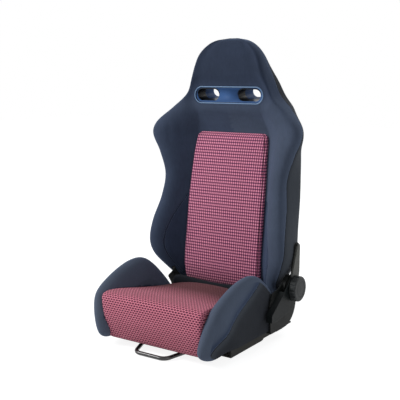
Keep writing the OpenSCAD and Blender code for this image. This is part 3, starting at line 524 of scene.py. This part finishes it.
give(velour_nap, out["Height"], calc(velour_nap, "MULTIPLY_ADD", brush, 0.4, tuft))

# a sewn line: the dark fold at the seam, and on each side a row of stitches, Beside away from it
sewing, given, out = effect("sewing", [("Distance", "Float", None), ("Run", "Float", None),
    ("Beside", "Float", 0.004)], [("Fold", "Float"), ("Stitch", "Float")])
off = calc(sewing, "ABSOLUTE", given["Distance"])
give(sewing, out["Fold"], ramp(sewing, off, 0.0017, 0.0006))
beside = calc(sewing, "ABSOLUTE", calc(sewing, "SUBTRACT", off, given["Beside"]))
thread = ramp(sewing, beside, 0.00062, 0.00035)
stitches_per_metre = 210.0
beat = from_half(sewing, calc(sewing, "MULTIPLY", given["Run"], stitches_per_metre))
give(sewing, out["Stitch"], calc(sewing, "MULTIPLY", thread, ramp(sewing, beat, 0.4, 0.33)))


def velour(name, colour, thread, sheen, tinted):
    """Brushed velour over foam, with the sewn lines that the piece's seam attributes give. The
    piece's attribute of painted light darkens it below zero, as painted shade, and pales it above
    zero, as painted light."""
    made, tree, shader = finish(name, Sheen_Weight=sheen, Sheen_Roughness=0.42, Sheen_Tint=tinted,
                                Specular_IOR_Level=0.2)
    spot = wire(tree, "TexCoord").outputs["Object"]
    nap = use(tree, velour_nap, Vector=spot, Color=colour)
    sewn = use(tree, sewing, Distance=mark(tree, "seam"), Run=mark(tree, "run"))
    painted_light_value = mark(tree, "nap")
    # painted shade below zero, towards near black; painted light above zero, towards pale blue-grey
    away = calc(tree, "MULTIPLY", painted_light_value, -1.0, clamp=True)
    shown = blend_colours(tree, away, nap["Color"], tint(10, 13, 20))
    paler_painted_light = calc(tree, "MULTIPLY", painted_light_value, 1.0, clamp=True)
    shown = blend_colours(tree, paler_painted_light, shown, tint(126, 136, 148))
    shown = blend_colours(tree, sewn["Fold"], shown, tint(12, 13, 17))
    give(tree, shader["Base Color"], blend_colours(tree, sewn["Stitch"], shown, thread))
    give(tree, shader["Roughness"], calc(tree, "MULTIPLY_ADD", nap["Height"], -0.08, 0.98))
    high = calc(tree, "ADD", calc(tree, "MULTIPLY", nap["Height"], 0.35),
                calc(tree, "MULTIPLY", sewn["Stitch"], 1.2))
    high = calc(tree, "SUBTRACT", high, calc(tree, "MULTIPLY", sewn["Fold"], 2.5))
    give(tree, shader["Normal"], raised(tree, high, 0.0006))
    return made


navy = velour("navy_velour", tint(48, 58, 78), tint(84, 94, 114), 0.28, tint(140, 168, 212))
dark_side = velour("side_cloth", tint(35, 38, 44), tint(70, 74, 82), 0.08, tint(150, 156, 165))

# side outline, [y, z, way in which an inset moves y, the same for z], and the section over the
# crest from the inner face to the outer one: [x from the bolster's outer plane, inset]
bolster_outline = np.array([[-292, 20, 0.6, 0.5], [-323, 38, 1.0, 0.3], [-321, 98, 1.0, -0.25],
    [-300, 158, 0.80, -0.60], [-234, 196, 0.45, -0.90], [-150, 223, 0.15, -1.0],
    [-84, 222, -0.15, -1.0], [-32, 189, -0.7, -0.7], [26, 134, -0.75, -0.55], [60, 92, -0.9, -0.1],
    [48, 42, -0.5, 0], [-120, 42, 0, 0], [-236, 42, 0, 0], [-256, 42, 0.2, 0],
    [-274, 26, 0.3, 0.3]], float)
bolster_section = np.array([[-63, 62], [-58, 42], [-51, 24], [-42, 11], [-32, 3.5], [-23, 0],
    [-15, 1.5], [-8.5, 7], [-3.5, 17], [-0.5, 30], [0.5, 44]], float)
bolster_out = 223
bolster_middle = (-125, 110)


def bolster_rings(x, inset, shrink, n):
    """Side outline of a bolster, drawn in by inset at each control point along its own way, and
    shrunk towards the middle by the share shrink. Low at the front it leans inwards, by 26 mm times
    the power 1.5 of the share of 130 mm by which -y - 0.9 z passes 150 mm."""
    x, inset, shrink = (np.asarray(v, float)[:, None] for v in (x, inset, shrink))
    y0, z0, iy, iz = bolster_outline.T
    ring = np.stack([y0 + inset * iy, z0 + inset * iz], -1)
    ring = curve(ring.transpose(1, 0, 2), n).transpose(1, 0, 2)
    y = bolster_middle[0] + (ring[..., 0] - bolster_middle[0]) * (1 - shrink)
    z = bolster_middle[1] + (ring[..., 1] - bolster_middle[1]) * (1 - shrink)
    lean = -26 * np.clip((-y - 0.9 * z - 150) / 130, 0, 1.05) ** 1.5
    return np.stack([bolster_out + x + lean, y, z], -1)


def face_with(piece, materials, number):
    """Gives a piece its materials, and each face the number of its own."""
    for material in materials:
        piece.data.materials.append(material)
    piece.data.polygons.foreach_set("material_index", number.astype(np.int32))


def cut(piece, *tools):
    """Takes the tools' solids out of a piece for good, then deletes the tools."""
    for tool in tools:
        step = piece.modifiers.new("cut", "BOOLEAN")
        step.operation = "DIFFERENCE"
        step.solver = "EXACT"
        step.object = tool
    graph = bpy.context.evaluated_depsgraph_get()
    done = bpy.data.meshes.new_from_object(piece.evaluated_get(graph))
    piece.modifiers.clear()
    old = piece.data
    piece.data = done
    bpy.data.meshes.remove(old)
    done.name = piece.name
    for tool in tools:
        bpy.data.objects.remove(tool)


# rows: three on the hidden inner face, then the band over the crest, then the flat outer side
per_span = 8
band = curve(bolster_section, per_span, closed=False)
side_share = np.linspace(0.01, 0.64, 64)
x = np.concatenate([[-63, -63, -63], band[:, 0], 0.5 + np.minimum(side_share * 8, 1)])
inset = np.concatenate([[62, 62, 62], band[:, 1], 0 * side_share + 44])
shrink = np.concatenate([[0.6, 0.3, 0.1], 0 * band[:, 0], side_share])
first_outer = 3 + 8 * per_span                           # the row at the section's ninth point
shape = bolster_rings(x, inset, shrink, 12)
down, round_it = steps(joined(shape), 0), steps(joined(shape), 1)
# the sewn line, [y, z], runs over the flat side from the front of the tip to the rear of the crest
side_line = np.array([[-300, 40], [-300, 56], [-281, 75], [-259, 88], [-242, 104], [-223, 123],
                      [-197, 141], [-162, 158], [-132, 173], [-102, 187], [-75, 200], [-60, 212],
                      [-50, 240]], float)
side_line = curve(side_line, 6, closed=False)
away = shape[:, :, None, 1:] - side_line
near = np.argmin(np.linalg.norm(away, axis=-1), -1)
tangent = np.gradient(side_line, axis=0)
tangent /= np.linalg.norm(tangent, axis=-1, keepdims=True)
off = np.take_along_axis(away, near[..., None, None], 2)[..., 0, :]
way = tangent[near]
seam = -(off[..., 1] * way[..., 0] - off[..., 0] * way[..., 1])
# millimetres from the line, above zero on the darker cloth; behind the line's end none is near
outer = np.arange(len(shape))[:, None] >= first_outer
clear = 60.0
seam = np.where(outer, seam, -clear)
behind = (shape[..., 1] > -60) & (shape[..., 2] < 205)
seam = np.where(behind, clear * np.sign(outer - 0.5), seam)
groove = 0.9 * np.exp(-(seam / 5.5) ** 2)
turn = np.exp(-(seam / 17) ** 2)
normal = outward(shape)
normal *= np.sign(-normal[20, 60, 1])                    # a point whose face looks forward, to -Y
shape = shape - normal * groove[..., None]
darker = np.concatenate([(seam[1:] > 0).ravel(), np.repeat([False, True], shape.shape[1])])
# painted light on the velour: paler over the navy, a little more on -X, which faces the light; darker on
# the navy next to the sewn line and paler on the dark side next to it, as the crest's light and shade
for side, label, painted_light_level in ((1, "_r", 0.2), (-1, "_l", 0.24)):
    piece = skin("bolster_cover" + label, shape * [side, 1, 1], np.stack([down, round_it], -1),
                 seam=(seam + 1.1 * np.sign(seam)) * 0.001, run=round_it[:, :-1],
                 nap=np.where(outer & (seam > 0), 0.14 * turn, painted_light_level - 0.3 * turn))
    # the pad's foam, 0.4 mm larger, leaves its place in the bolster
    hollow = skin("hollow", pad_ring(pad_share, 0 * pad_share, 4, 0.4))
    face_with(piece, (navy, dark_side), darker)
    cut(piece, hollow)
    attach(piece, "seat_base")
    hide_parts("cushion_bolster" + label)

# the tail's section, [y, z], is drawn in towards its middle at the two ends
tail_outline = np.array([[37, 122], [30, 134], [20, 133], [15.8, 122], [15.8, 60], [24, 45], [33, 52],
    [37, 72]], float)
tail_middle, tail_half = [26, 92], 158
share = np.concatenate([[-1, -0.997, -0.99, -0.975, -0.95], np.linspace(-0.92, 0.92, 41),
                        [0.95, 0.975, 0.99, 0.997, 1]])
inset = 9 * np.clip((np.abs(share) - 0.93) / 0.07, 0, 1) ** 3
ring = curve(tail_outline, 8)
away = ring - tail_middle
ring = tail_middle + away[None] * (1 - inset[:, None] / np.linalg.norm(away, axis=-1))[..., None]
place = np.broadcast_to((share * tail_half)[:, None, None], ring.shape[:2] + (1,))
shape = np.concatenate([place, ring], -1)
# foam squeezed up under the backrest lifts the top of the roll, most near its two ends
lift = 8.5 + 12 * share ** 2 * (1 - share ** 8)
shape[..., 2] += lift[:, None] * np.clip((shape[..., 2] - 88) / 40, 0, 1) - 1
# painted shade: the whole roll darkened to near black, as in the shadow between cushion and backrest
tail = skin("tail_cover", shape, seam=np.full(shape.shape[:2], no_seam), run=np.zeros(shape.shape[:2]),
            nap=np.full(shape.shape[:2], -0.6))
tail.data.materials.append(dark_side)
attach(tail, "seat_base")
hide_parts("cushion_tail")

# ---- Recliner ----
# A pressed bracket carries the black painted disc of the recliner gear; the arm turns on its hub.
# Two moulded covers with turned-in edges hide them, split along an arc round the pivot.
dress(zinc, "knob_shaft")
dress(base_black, "recliner_disc", "pivot_hub", "hinge_pin")


def moulded(name, colour, rough, grain=0.00012, cell=1100.0, rubbed=tint(120, 124, 128), gloss=0.24):
    """Moulded plastic: pebble grain, grain metres high and cell pebbles to the metre, with a slow
    change of gloss, dust and rubbed edges."""
    made, tree, shader = finish(name, Specular_IOR_Level=gloss)
    spot = wire(tree, "TexCoord").outputs["Object"]
    rub = use(tree, edge_rub, Vector=spot, Radius=0.0016, Amount=0.35)
    dust = use(tree, dusting, Vector=spot, Amount=0.2)
    cells = wire(tree, "TexVoronoi", {"Vector": spot, "Scale": cell}, feature="SMOOTH_F1")
    shown = blend_colours(tree, dust["Mask"], colour, tint(74, 75, 74))
    give(tree, shader["Base Color"], blend_colours(tree, rub["Mask"], shown, rubbed))
    give(tree, shader["Roughness"], calc(tree, "MULTIPLY_ADD", dust["Cloud"], 0.25, rough - 0.12))
    high = calc(tree, "MULTIPLY_ADD", noise(tree, spot, cell * 0.35, 3.0), 0.6, cells.outputs["Distance"])
    give(tree, shader["Normal"], raised(tree, high, grain, rub["Normal"]))
    return made


cover_grey = moulded("cover_plastic", tint(19, 23, 24), 0.42, rubbed=tint(60, 64, 66), gloss=0.08)
dress(cover_grey, "lower_cover")
# the lower cover's plastic in a paler copy, a painted highlight on the upper cover's lit face
upper_highlight_grey = moulded("upper_plastic_painted_highlight", tint(70, 71, 67), 0.46)
dress(upper_highlight_grey, "upper_cover")

# ---- Backrest frame ----
# Bent steel tubes in satin black paint, with a welded hoop in the head section and cross tubes. A
# zinc plated wire mat hangs between them and carries the foam.
frame_black = painted_steel("frame_black", tint(26, 27, 28), tint(96, 96, 92), 0.55)
dress(frame_black, "frame_hoop", "frame_cross_low", "frame_cross_top", *both_sides("frame_upright"))
dress(zinc, "spring_mat")

# ---- Backrest foam ----
# One moulded foam block with wings, side bolsters and a fixed head, under navy velour. The cover is
# sewn from a front, two darker side panels along the bolsters' crests, and a D-shaped inner panel
# on each lumbar bolster. [z, half width, corner x, back y, ridge y, groove x, groove y]
back_table = np.array([[100, 146, 136, 135, 110, 122, 106], [112, 172, 152, 137, 100, 134, 96],
    [128, 193, 168, 139, 82, 140, 84], [160, 206, 194, 148, 46, 141, 70],
    [210, 236, 214, 152, 10, 142, 66], [255, 247, 224, 153, 0, 142, 70],
    [320, 238, 228, 155, 6, 141, 79], [400, 222, 230, 162, 36, 140, 89],
    [470, 217, 228, 168, 50, 137, 100], [540, 238, 222, 172, 48, 134, 112],
    [598, 263, 204, 175, 44, 129, 124], [635, 253, 198, 177, 54, 120, 114],
    [680, 202, 194, 178, 74, 110, 95], [720, 156, 166, 178, 82, 100, 87],
    [765, 136, 140, 177, 82, 90, 86], [810, 121, 108, 175, 82, 75, 84],
    [845, 106, 84, 172, 86, 55, 86], [872, 80, 62, 164, 94, 36, 93],
    [887, 50, 38, 154, 104, 20, 103], [893, 14, 9, 138, 124, 3, 123]], float)


def station(table, h):
    """Rows of a table at the heights h, in its first column, by cubic Hermite spans whose slopes
    are the differences across each row's neighbours."""
    h = np.atleast_1d(np.asarray(h, float))
    z = table[:, 0]
    slope = np.empty_like(table)
    slope[1:-1] = (table[2:] - table[:-2]) / (z[2:] - z[:-2])[:, None]
    slope[0] = (table[1] - table[0]) / (z[1] - z[0])
    slope[-1] = (table[-1] - table[-2]) / (z[-1] - z[-2])
    k = np.clip(np.searchsorted(z, h, "right") - 1, 0, len(z) - 2)
    w = (z[k + 1] - z[k])[:, None]
    t = (h - z[k])[:, None] / w
    return ((2 * t ** 3 - 3 * t ** 2 + 1) * table[k] + (t ** 3 - 2 * t ** 2 + t) * w * slope[k]
            + (3 * t ** 2 - 2 * t ** 3) * table[k + 1] + (t ** 3 - t ** 2) * w * slope[k + 1])


def hollow_x(z):
    """Half width of the hollow for the frame at the height z: 22 mm inside the rear corner and
    40 mm inside the half width, and between 6 and 184 mm."""
    s = station(back_table, z)
    return np.maximum(6, np.minimum(184, np.minimum(s[:, 2] - 22, s[:, 1] - 40)))


def back_front(z, n):
    """Front curve of the section at the heights z, from the rear lip on +X round to the one on -X:
    a B-spline through the lip, the rear corner, the crest, the bolster's inner face, the two
    points of the groove and the middle, then the same mirrored. Returns points by height."""
    w, xc, yb, yr, xi, yf = station(back_table, z)[:, 1:].T
    a, o = np.minimum(6, xi * 0.5), 0 * yf
    half = np.array([[o, yf], [xi - a, yf], [xi + a, yf], [0.675 * w + 0.25 * xi - 4, yr + 2],
        [w - 2, yr - 4], [w + 2, yr + 0.34 * (yb - yr)],
        [xc + 0.5 * (w - xc) - 1, yb - 0.22 * (yb - yr)], [xc - 8, yb + 1]])
    lip = np.maximum(hollow_x(z) + 2, xc - 22)
    control = np.concatenate([[[lip, yb]], half[::-1], half[1:] * [[-1], [1]], [[-lip, yb]]])
    return curve(control, n, closed=False).transpose(2, 0, 1)


def at_heights(points, heights):
    """Rows of section points [x, y], each row at its height."""
    z = np.broadcast_to(heights[:, None, None], points.shape[:2] + (1,))
    return np.concatenate([points, z], -1)


hollow_top = 846


def back_rear(z):
    """The hollow's side of the section: down its wall, across its floor and up again. It is 36 mm
    deep, less where that leaves under 22 mm of foam, and runs out at a slope towards its top."""
    yb, yf = station(back_table, z)[:, [3, 6]].T
    x = hollow_x(z)
    d = np.minimum(np.minimum(36, 0.4 + np.maximum(hollow_top - z, 0) * 0.9), yb - yf - 22)
    d = np.where(z > hollow_top, 0.4, d)
    yc, r = yb - d, 7 * np.minimum(1, d / 12)
    half = [[x, yb], [x, yc + r], [x - 10, yc]]
    rear = [[-p[0], p[1]] for p in half] + [[0 * x, yc]] + half[::-1]
    return np.array(rear).transpose(2, 0, 1)


levels = np.unique(np.concatenate([np.linspace(100, 893, 175), [102, 104, 108, 113, 868, 876, 881,
                                   885, 888, 890.5, 892]]))
back_span = 14                                        # points from one control number to the next
front = back_front(levels, back_span)
arc = np.pad(np.cumsum(np.linalg.norm(np.diff(front, axis=1), axis=-1), 1), ((0, 0), (1, 0)))


def across_to(number):
    """Arc length to a control number on each section; the number may change with height."""
    number = np.broadcast_to(np.asarray(number, float), (len(levels),))
    spot = number * back_span
    low = np.clip(np.floor(spot).astype(int), 0, front.shape[1] - 2)
    rows = np.arange(len(levels))
    return arc[rows, low] + (spot - low) * (arc[rows, low + 1] - arc[rows, low])


# control numbers on the section: its middle and its far end, the side seam's and the D panel's
middle, last = 8, 16
side_number = np.interp(levels, [100, 150, 230, 326, 382, 494, 600, 690, 893],
                        [3.9, 3.9, 3.8, 3.35, 3.15, 3.2, 3.1, 2.4, 2.2])
panel_number = middle - np.interp(levels, [100, 150, 184, 216, 236, 260, 288, 318, 348, 374, 402],
                                  [2.3, 2.55, 2.75, 2.85, 2.87, 2.86, 2.8, 2.68, 2.52, 2.3, 1.9])
side_right = arc - across_to(side_number)[:, None]
side_left = across_to(last - side_number)[:, None] - arc
side_seam = np.minimum(side_left, side_right)          # millimetres, below zero on the side panels
panel_right = across_to(panel_number)[:, None] - arc
panel_left = arc - across_to(last - panel_number)[:, None]
panel_seam = np.where(arc < across_to(middle)[:, None], panel_right, panel_left)
panelled = levels[:, None] < 404
panel_seam = np.where(panelled, panel_seam, 999)
lay = at_heights(front, levels)
normal = outward(lay, closed=False)
normal *= -np.sign(normal[len(levels) // 2, front.shape[1] // 2, 1])
height = lay[..., 2]
# both seams are sunk, the side seam up to the shoulders
depth = 2.4 * np.exp(-(side_seam / 4.0) ** 2) * np.clip((640 - height) / 60, 0, 1)
depth += 1.5 * np.exp(-(panel_seam / 4.2) ** 2)
# creases in the pile: the two ends of each in the front view, its width and depth
crease = np.zeros_like(height)
for x0, z0, x1, z1, wide, deep in ((-205, 640, -196, 560, 7, 1.4), (-178, 655, -168, 575, 8, 1.0),
                                   (214, 622, 236, 590, 6, 1.8), (206, 602, 232, 566, 6, 1.4),
                                   (-222, 330, -208, 400, 9, 1.2), (228, 300, 216, 380, 9, 1.0)):
    px, pz = lay[..., 0] - x0, height - z0
    dx, dz = x1 - x0, z1 - z0
    t = np.clip((px * dx + pz * dz) / (dx * dx + dz * dz), 0, 1)
    off = np.hypot(px - t * dx, pz - t * dz)
    crease += deep * np.exp(-(off / wide) ** 2) * np.sin(np.pi * np.clip(t, 0.02, 0.98)) ** 0.5
depth += np.where(lay[..., 1] < 120, crease, 0)
lay = lay - normal * depth[..., None]
# round the front bezel the cover is drawn flush with its face, by a smooth step 38 mm wide
slot_z, slot_x, slot_tilt = 720, 74, math.radians(7)
bezel_long, bezel_high = 125, 27                       # half sizes of the bezel's face
face_y = station(back_table, slot_z)[0, 6] + 5         # plane of the front bezel's face
along = np.maximum(np.abs(lay[..., 0]) - (bezel_long - bezel_high), 0)
beyond = np.hypot(along, height - slot_z) - bezel_high
flush = np.clip(1 - beyond / 38, 0, 1)
flush = flush * flush * (3 - 2 * flush)
facing = (lay[..., 1] < 125) & (normal[..., 1] < -0.25)
lay[..., 1] += np.where(facing, flush * (face_y + 1.5 - lay[..., 1]), 0)
rear = at_heights(back_rear(levels), levels)
shape = np.concatenate([lay, rear], 1)
rest = np.ones(rear.shape[:2])
soft_panel = panel_seam + np.sign(panel_seam) * 1.1   # its fold shows only faintly
seam = np.where(abs(side_seam) < abs(panel_seam), side_seam, soft_panel) * 0.001
# painted shade: darker inside the D panels, which face away from the light, and up the head;
# painted light: a little paler overall, and below the head a little paler on +X and darker on -X
inside = np.clip(0.5 + np.where(panelled, -panel_seam, -99) / 5, 0, 1)
head = np.clip((height - 690) / 110, 0, 1)
nap = 0.07 - 0.36 * head * head * (3 - 2 * head) - 0.13 * inside
nap += np.where(lay[..., 0] > 0, 0.05, -0.04) * np.clip((700 - height) / 100, 0, 1)
back = skin("back_cover", shape, ends="flat", sharp=55, seam=np.hstack([seam, -rest]),
            run=np.hstack([steps(lay, 0), rest]), nap=np.hstack([nap, 0 * rest]))
# faces in the darker cloth: past the side seam, round the rear, and the two flat ends
darker = np.ones((len(levels) - 1, shape.shape[1]), bool)
darker[:, :front.shape[1] - 1] = side_seam[:-1, :-1] + side_seam[:-1, 1:] < 0
face_with(back, (navy, dark_side), np.append(darker.ravel(), [True, True]))


def arc_points(y, z, r, start, stop, n):
    """n + 1 points on an arc in the side view, angles in degrees from +Y towards +Z."""
    a = np.radians(np.linspace(start, stop, n + 1))
    return np.stack([y + r * np.cos(a), z + r * np.sin(a)], -1)


def at_angle(y, z, r, angle):
    """The one point of such an arc at an angle, as a row."""
    return arc_points(y, z, r, angle, angle, 0)


def side_plate(name, outline, x0, x1):
    """Plate with a side-view outline of [y, z] points between two planes of constant x."""
    outline = np.asarray(outline, float)
    rows = [np.column_stack([np.full(len(outline), x), outline]) for x in (x0, x1)]
    return skin(name, np.array(rows), ends="flat", sharp=30)


def slot_outline(half_long, half_high, n=40):
    """Slot with round ends, as [x, height] points round its centre: a circle of radius half_high
    whose two halves are moved apart by half_long - half_high each."""
    a = np.linspace(0, math.tau, n, endpoint=False) + math.tau / n / 2
    return np.stack([half_high * np.cos(a) + np.sign(np.cos(a)) * (half_long - half_high),
                     half_high * np.sin(a)], -1)


def stood(outline, y):
    """Outline of [x, height over the slots' middle], stood up in the plane y."""
    return np.column_stack([outline[:, 0], np.full(len(outline), y), slot_z + outline[:, 1]])


def in_tunnel(x, up, deep):
    """Point x across, up the bezel's face and deep along the tunnel behind it, both of which lean
    by the tunnel's tilt."""
    x, up, deep = np.broadcast_arrays(x, up, deep)
    return np.stack([x, face_y - up * math.sin(slot_tilt) + deep * math.cos(slot_tilt),
                     slot_z + up * math.cos(slot_tilt) + deep * math.sin(slot_tilt)], -1).astype(float)


def slot_bar(name, side, half_long, half_high, start, stop, n=40):
    """Bar with a slot's outline, along one belt tunnel between two depths behind the bezel."""
    ring = slot_outline(half_long, half_high, n)
    return skin(name, in_tunnel(ring[None, :, 0] + side * slot_x, ring[None, :, 1],
                                np.array([[start], [stop]])), ends="flat", sharp=30)


def link_outline(a, ra, b, rb):
    """Outline of a strap round the circles of radius ra at a and rb at b: an arc round each, joined
    by the lines that touch both, ra - rb over the distance being the cosine of their angle."""
    way = np.subtract(b, a)
    turn = math.degrees(math.atan2(way[1], way[0]))
    k = math.degrees(math.acos((ra - rb) / math.hypot(*way)))
    return np.concatenate([arc_points(*a, ra, turn + k, turn + 360 - k, 16),
                           arc_points(*b, rb, turn - k, turn + k, 10)])


# the front bezel's seat
ring = slot_outline(bezel_long + 0.3, bezel_high + 0.3)
seat = skin("seat", np.array([stood(ring, 30), stood(ring, face_y + 7.8)]), ends="flat", sharp=30)
# room for the plain hinge on the far side: a pocket for the bracket, which the foam turns past over
# the whole recline, and a recess for the arm
pivot, hinge_tie = (67, 154), (128, 215)
pocket_x, arm_x, inner_x = -185.5, -176.8, -171.4
boss = 25
far = np.add(pivot, at_angle(0, 0, boss, 54)[0] + 130 * at_angle(0, 0, 1, -36)[0])
room = np.concatenate([at_angle(*pivot, 120, -170), arc_points(*pivot, boss, 190, 54, 10),
                       [far, [far[0], 60], [-60, 60]]])
pocket = side_plate("pocket", room, pocket_x, inner_x)
strap = side_plate("strap", link_outline(pivot, 23, hinge_tie, 14), arm_x, inner_x)
tunnels = [slot_bar("tunnel", side, 45, 23, -40, 150) for side in (1, -1)]
cut(back, *tunnels, seat, pocket, strap)
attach(back, "backrest")
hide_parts("back_foam")

# ---- Backrest pad ----
# The middle of the backrest is a foam pad in the same check cloth, drawn into the groove round it,
# with a sewn edge where its face meets its narrow side wall. [height, front y, half width]
pad_table = np.array([[112, 84, 124], [122, 68, 132], [136, 59, 136], [152, 55, 138], [190, 53, 140],
    [300, 65, 139], [400, 77, 138], [525, 97, 133], [590, 113, 128], [604, 119, 125]], float)
levels = np.concatenate([[112, 112.3, 112.8, 113.5, 115, 117, 120], np.linspace(123, 585, 110),
                         [590, 593, 596, 599, 601, 602.5, 603.4, 604]])
inset = np.interp(levels, [112, 112.8, 113.5, 117, 123, 590, 596, 601, 603.4, 604],
                  [14, 9.5, 7, 2, 0, 0, 1, 4, 8.5, 11])
y, x = station(pad_table, levels)[:, 1:].T
x = x - inset
g = station(back_table, levels)[:, 6] + 3
dip = np.minimum(inset, (g - y) * 0.4)
half = np.array([[0 * x, y - 4 + dip], [x - 30, y - 1 + dip], [x - 2, y + dip * 0.6],
                 [x, y + np.minimum(12, (g - y) * 0.7)], [x - 1, g], [x - 10, g + 1], [0 * x, g + 1]])
pad_span = 10
ring = curve(np.concatenate([half, half[5:0:-1] * [[-1], [1]]]), pad_span).transpose(2, 0, 1)
shape = at_heights(ring, levels)
whole = joined(shape)
corner = 2 * pad_span + 4                                # column of the sewn edge on +X
# distance round the section from the middle of the face, by +X and by -X, and from the sewn edges
around = steps(whole, 1)
other = around[:, -1:] - around
on_right = around < around[:, -1:] / 2
across = np.where(on_right, around, -other)
edge = np.where(on_right, around - around[:, [corner]], other - other[:, [-1 - corner]])
normal = outward(shape)
normal *= -np.sign(normal[60, 0, 1])                     # the middle of the face looks forward
shape = shape - normal * (1.5 * np.exp(-(edge[:, :-1, None] * 1000 / 2.6) ** 2))
back_check = check_cloth("back_check", (0.0075, 0.0093), 0.0, tint(166, 78, 108),
                         tint(240, 164, 190), tint(38, 32, 68))
up = steps(whole, 0)
# painted shade: the pad's cloth darker towards its bottom
pad = skin("back_pad_cover", shape, np.stack([across, np.broadcast_to(up[:, :1], up.shape)], -1),
           seam=edge[:, :-1], soiled=0.35 * np.clip((190 - shape[..., 2]) / 70, 0, 1))
pad.data.materials.append(back_check)
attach(pad, "backrest")
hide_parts("back_pad")

# ---- Bezels and back panel ----
# Satin moulded bezels line the two belt slots, front and rear, and hold the edges of the cover.
# The grained rear panel, moulded in one piece, clips over the hollow.
bezel_blue = moulded("bezel_plastic", tint(58, 88, 134), 0.44, 0.00004, 1500.0, tint(150, 166, 184),
                    gloss=0.05)
# a paler copy of the bezel's plastic, as a painted highlight on the rim
rim_highlight_blue = moulded("rim_plastic_painted_highlight", tint(104, 132, 166), 0.3, 0.00004, 1500.0, tint(180, 196, 212))
dress(bezel_blue, "bezel_rear")
tunnel_dark = moulded("tunnel_plastic", tint(13, 14, 16), 0.3, 0.00004, 900.0, gloss=0.1)
# the plate's rows, [in from the outline, back from the face]: outer wall, rounded rim, floor
rim = np.array([[0.6, 7.5], [0, 6.9], [0, 3], [0.35, 1.2], [1.2, 0.2], [2.3, 0], [3.4, 0.3], [4.1, 1.1],
                [4.4, 2.2], [4.5, 4.0], [5.2, 4.6], [6, 4.6], [14, 4.6], [22, 4.6], [26.7, 4.6]])
per_row = 96
edge = slot_outline(bezel_long - rim[0, 0], bezel_high - rim[0, 0], per_row)
rows = [stood(edge * [0.9, 0.8], face_y + rim[0, 1])]
for inward, back_off in rim:
    edge = slot_outline(bezel_long - inward, bezel_high - inward, per_row)
    arch = 1.4 * np.clip(edge[:, 1] / bezel_high, 0, 1) * (1 - (edge[:, 0] / bezel_long) ** 2)
    rows.append(stood(edge, face_y + back_off) + np.outer(arch, [0, 0, 1]))
plate = skin("bezel_plate", np.array(rows), ends="flat", sharp=24)
# painted highlight in paler plastic on the rim's rows 1 to 7, and painted shadow in the tunnels'
# dark plastic down its inner wall, rows 8 to 10
row = np.array([min(face.vertices) // per_row for face in plate.data.polygons])
part = np.where((row > 0) & (row < 8), 1, np.where((row >= 8) & (row < 11), 2, 0))
face_with(plate, (bezel_blue, rim_highlight_blue, tunnel_dark), part)
# a tunnel's wall, [out from the slot, depth behind the face]: rounded lip, outside, inside
tunnel_long, tunnel_high, per_ring = 40, 18, 64
wall = np.array([[0, 5.5], [0.3, 5.0], [1.2, 4.6], [2.2, 5.2], [2.5, 6.5], [2.5, 48], [0, 48], [0, 5.5]])
for side, label in ((1, "_r"), (-1, "_l")):
    cut(plate, slot_bar("bore", side, tunnel_long, tunnel_high, -30, 30, per_ring))
    rows = []
    for out_by, deep in wall:
        ring = slot_outline(tunnel_long + out_by, tunnel_high + out_by, per_ring)
        rows.append(in_tunnel(ring[:, 0] + side * slot_x, ring[:, 1], deep))
    tube = skin("bezel_tunnel" + label, np.array(rows), ends="open", sharp=40)
    tube.data.materials.append(tunnel_dark)
    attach(tube, "backrest")
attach(plate, "backrest")
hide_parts("bezel_front")
panel_black = moulded("panel_plastic", tint(34, 36, 39), 0.56, 0.0002, 700.0, tint(90, 92, 94))
dress(panel_black, "back_panel")

# ---- Knob ----
# Moulded recline knob with scalloped grips, pressed on the shaft that turns the recliner's gear,
# and a shallow cap in its face over the shaft's end.
knob_grey = moulded("knob_plastic", tint(29, 32, 33), 0.5)
dress(knob_grey, "recline_knob", "knob_cap")
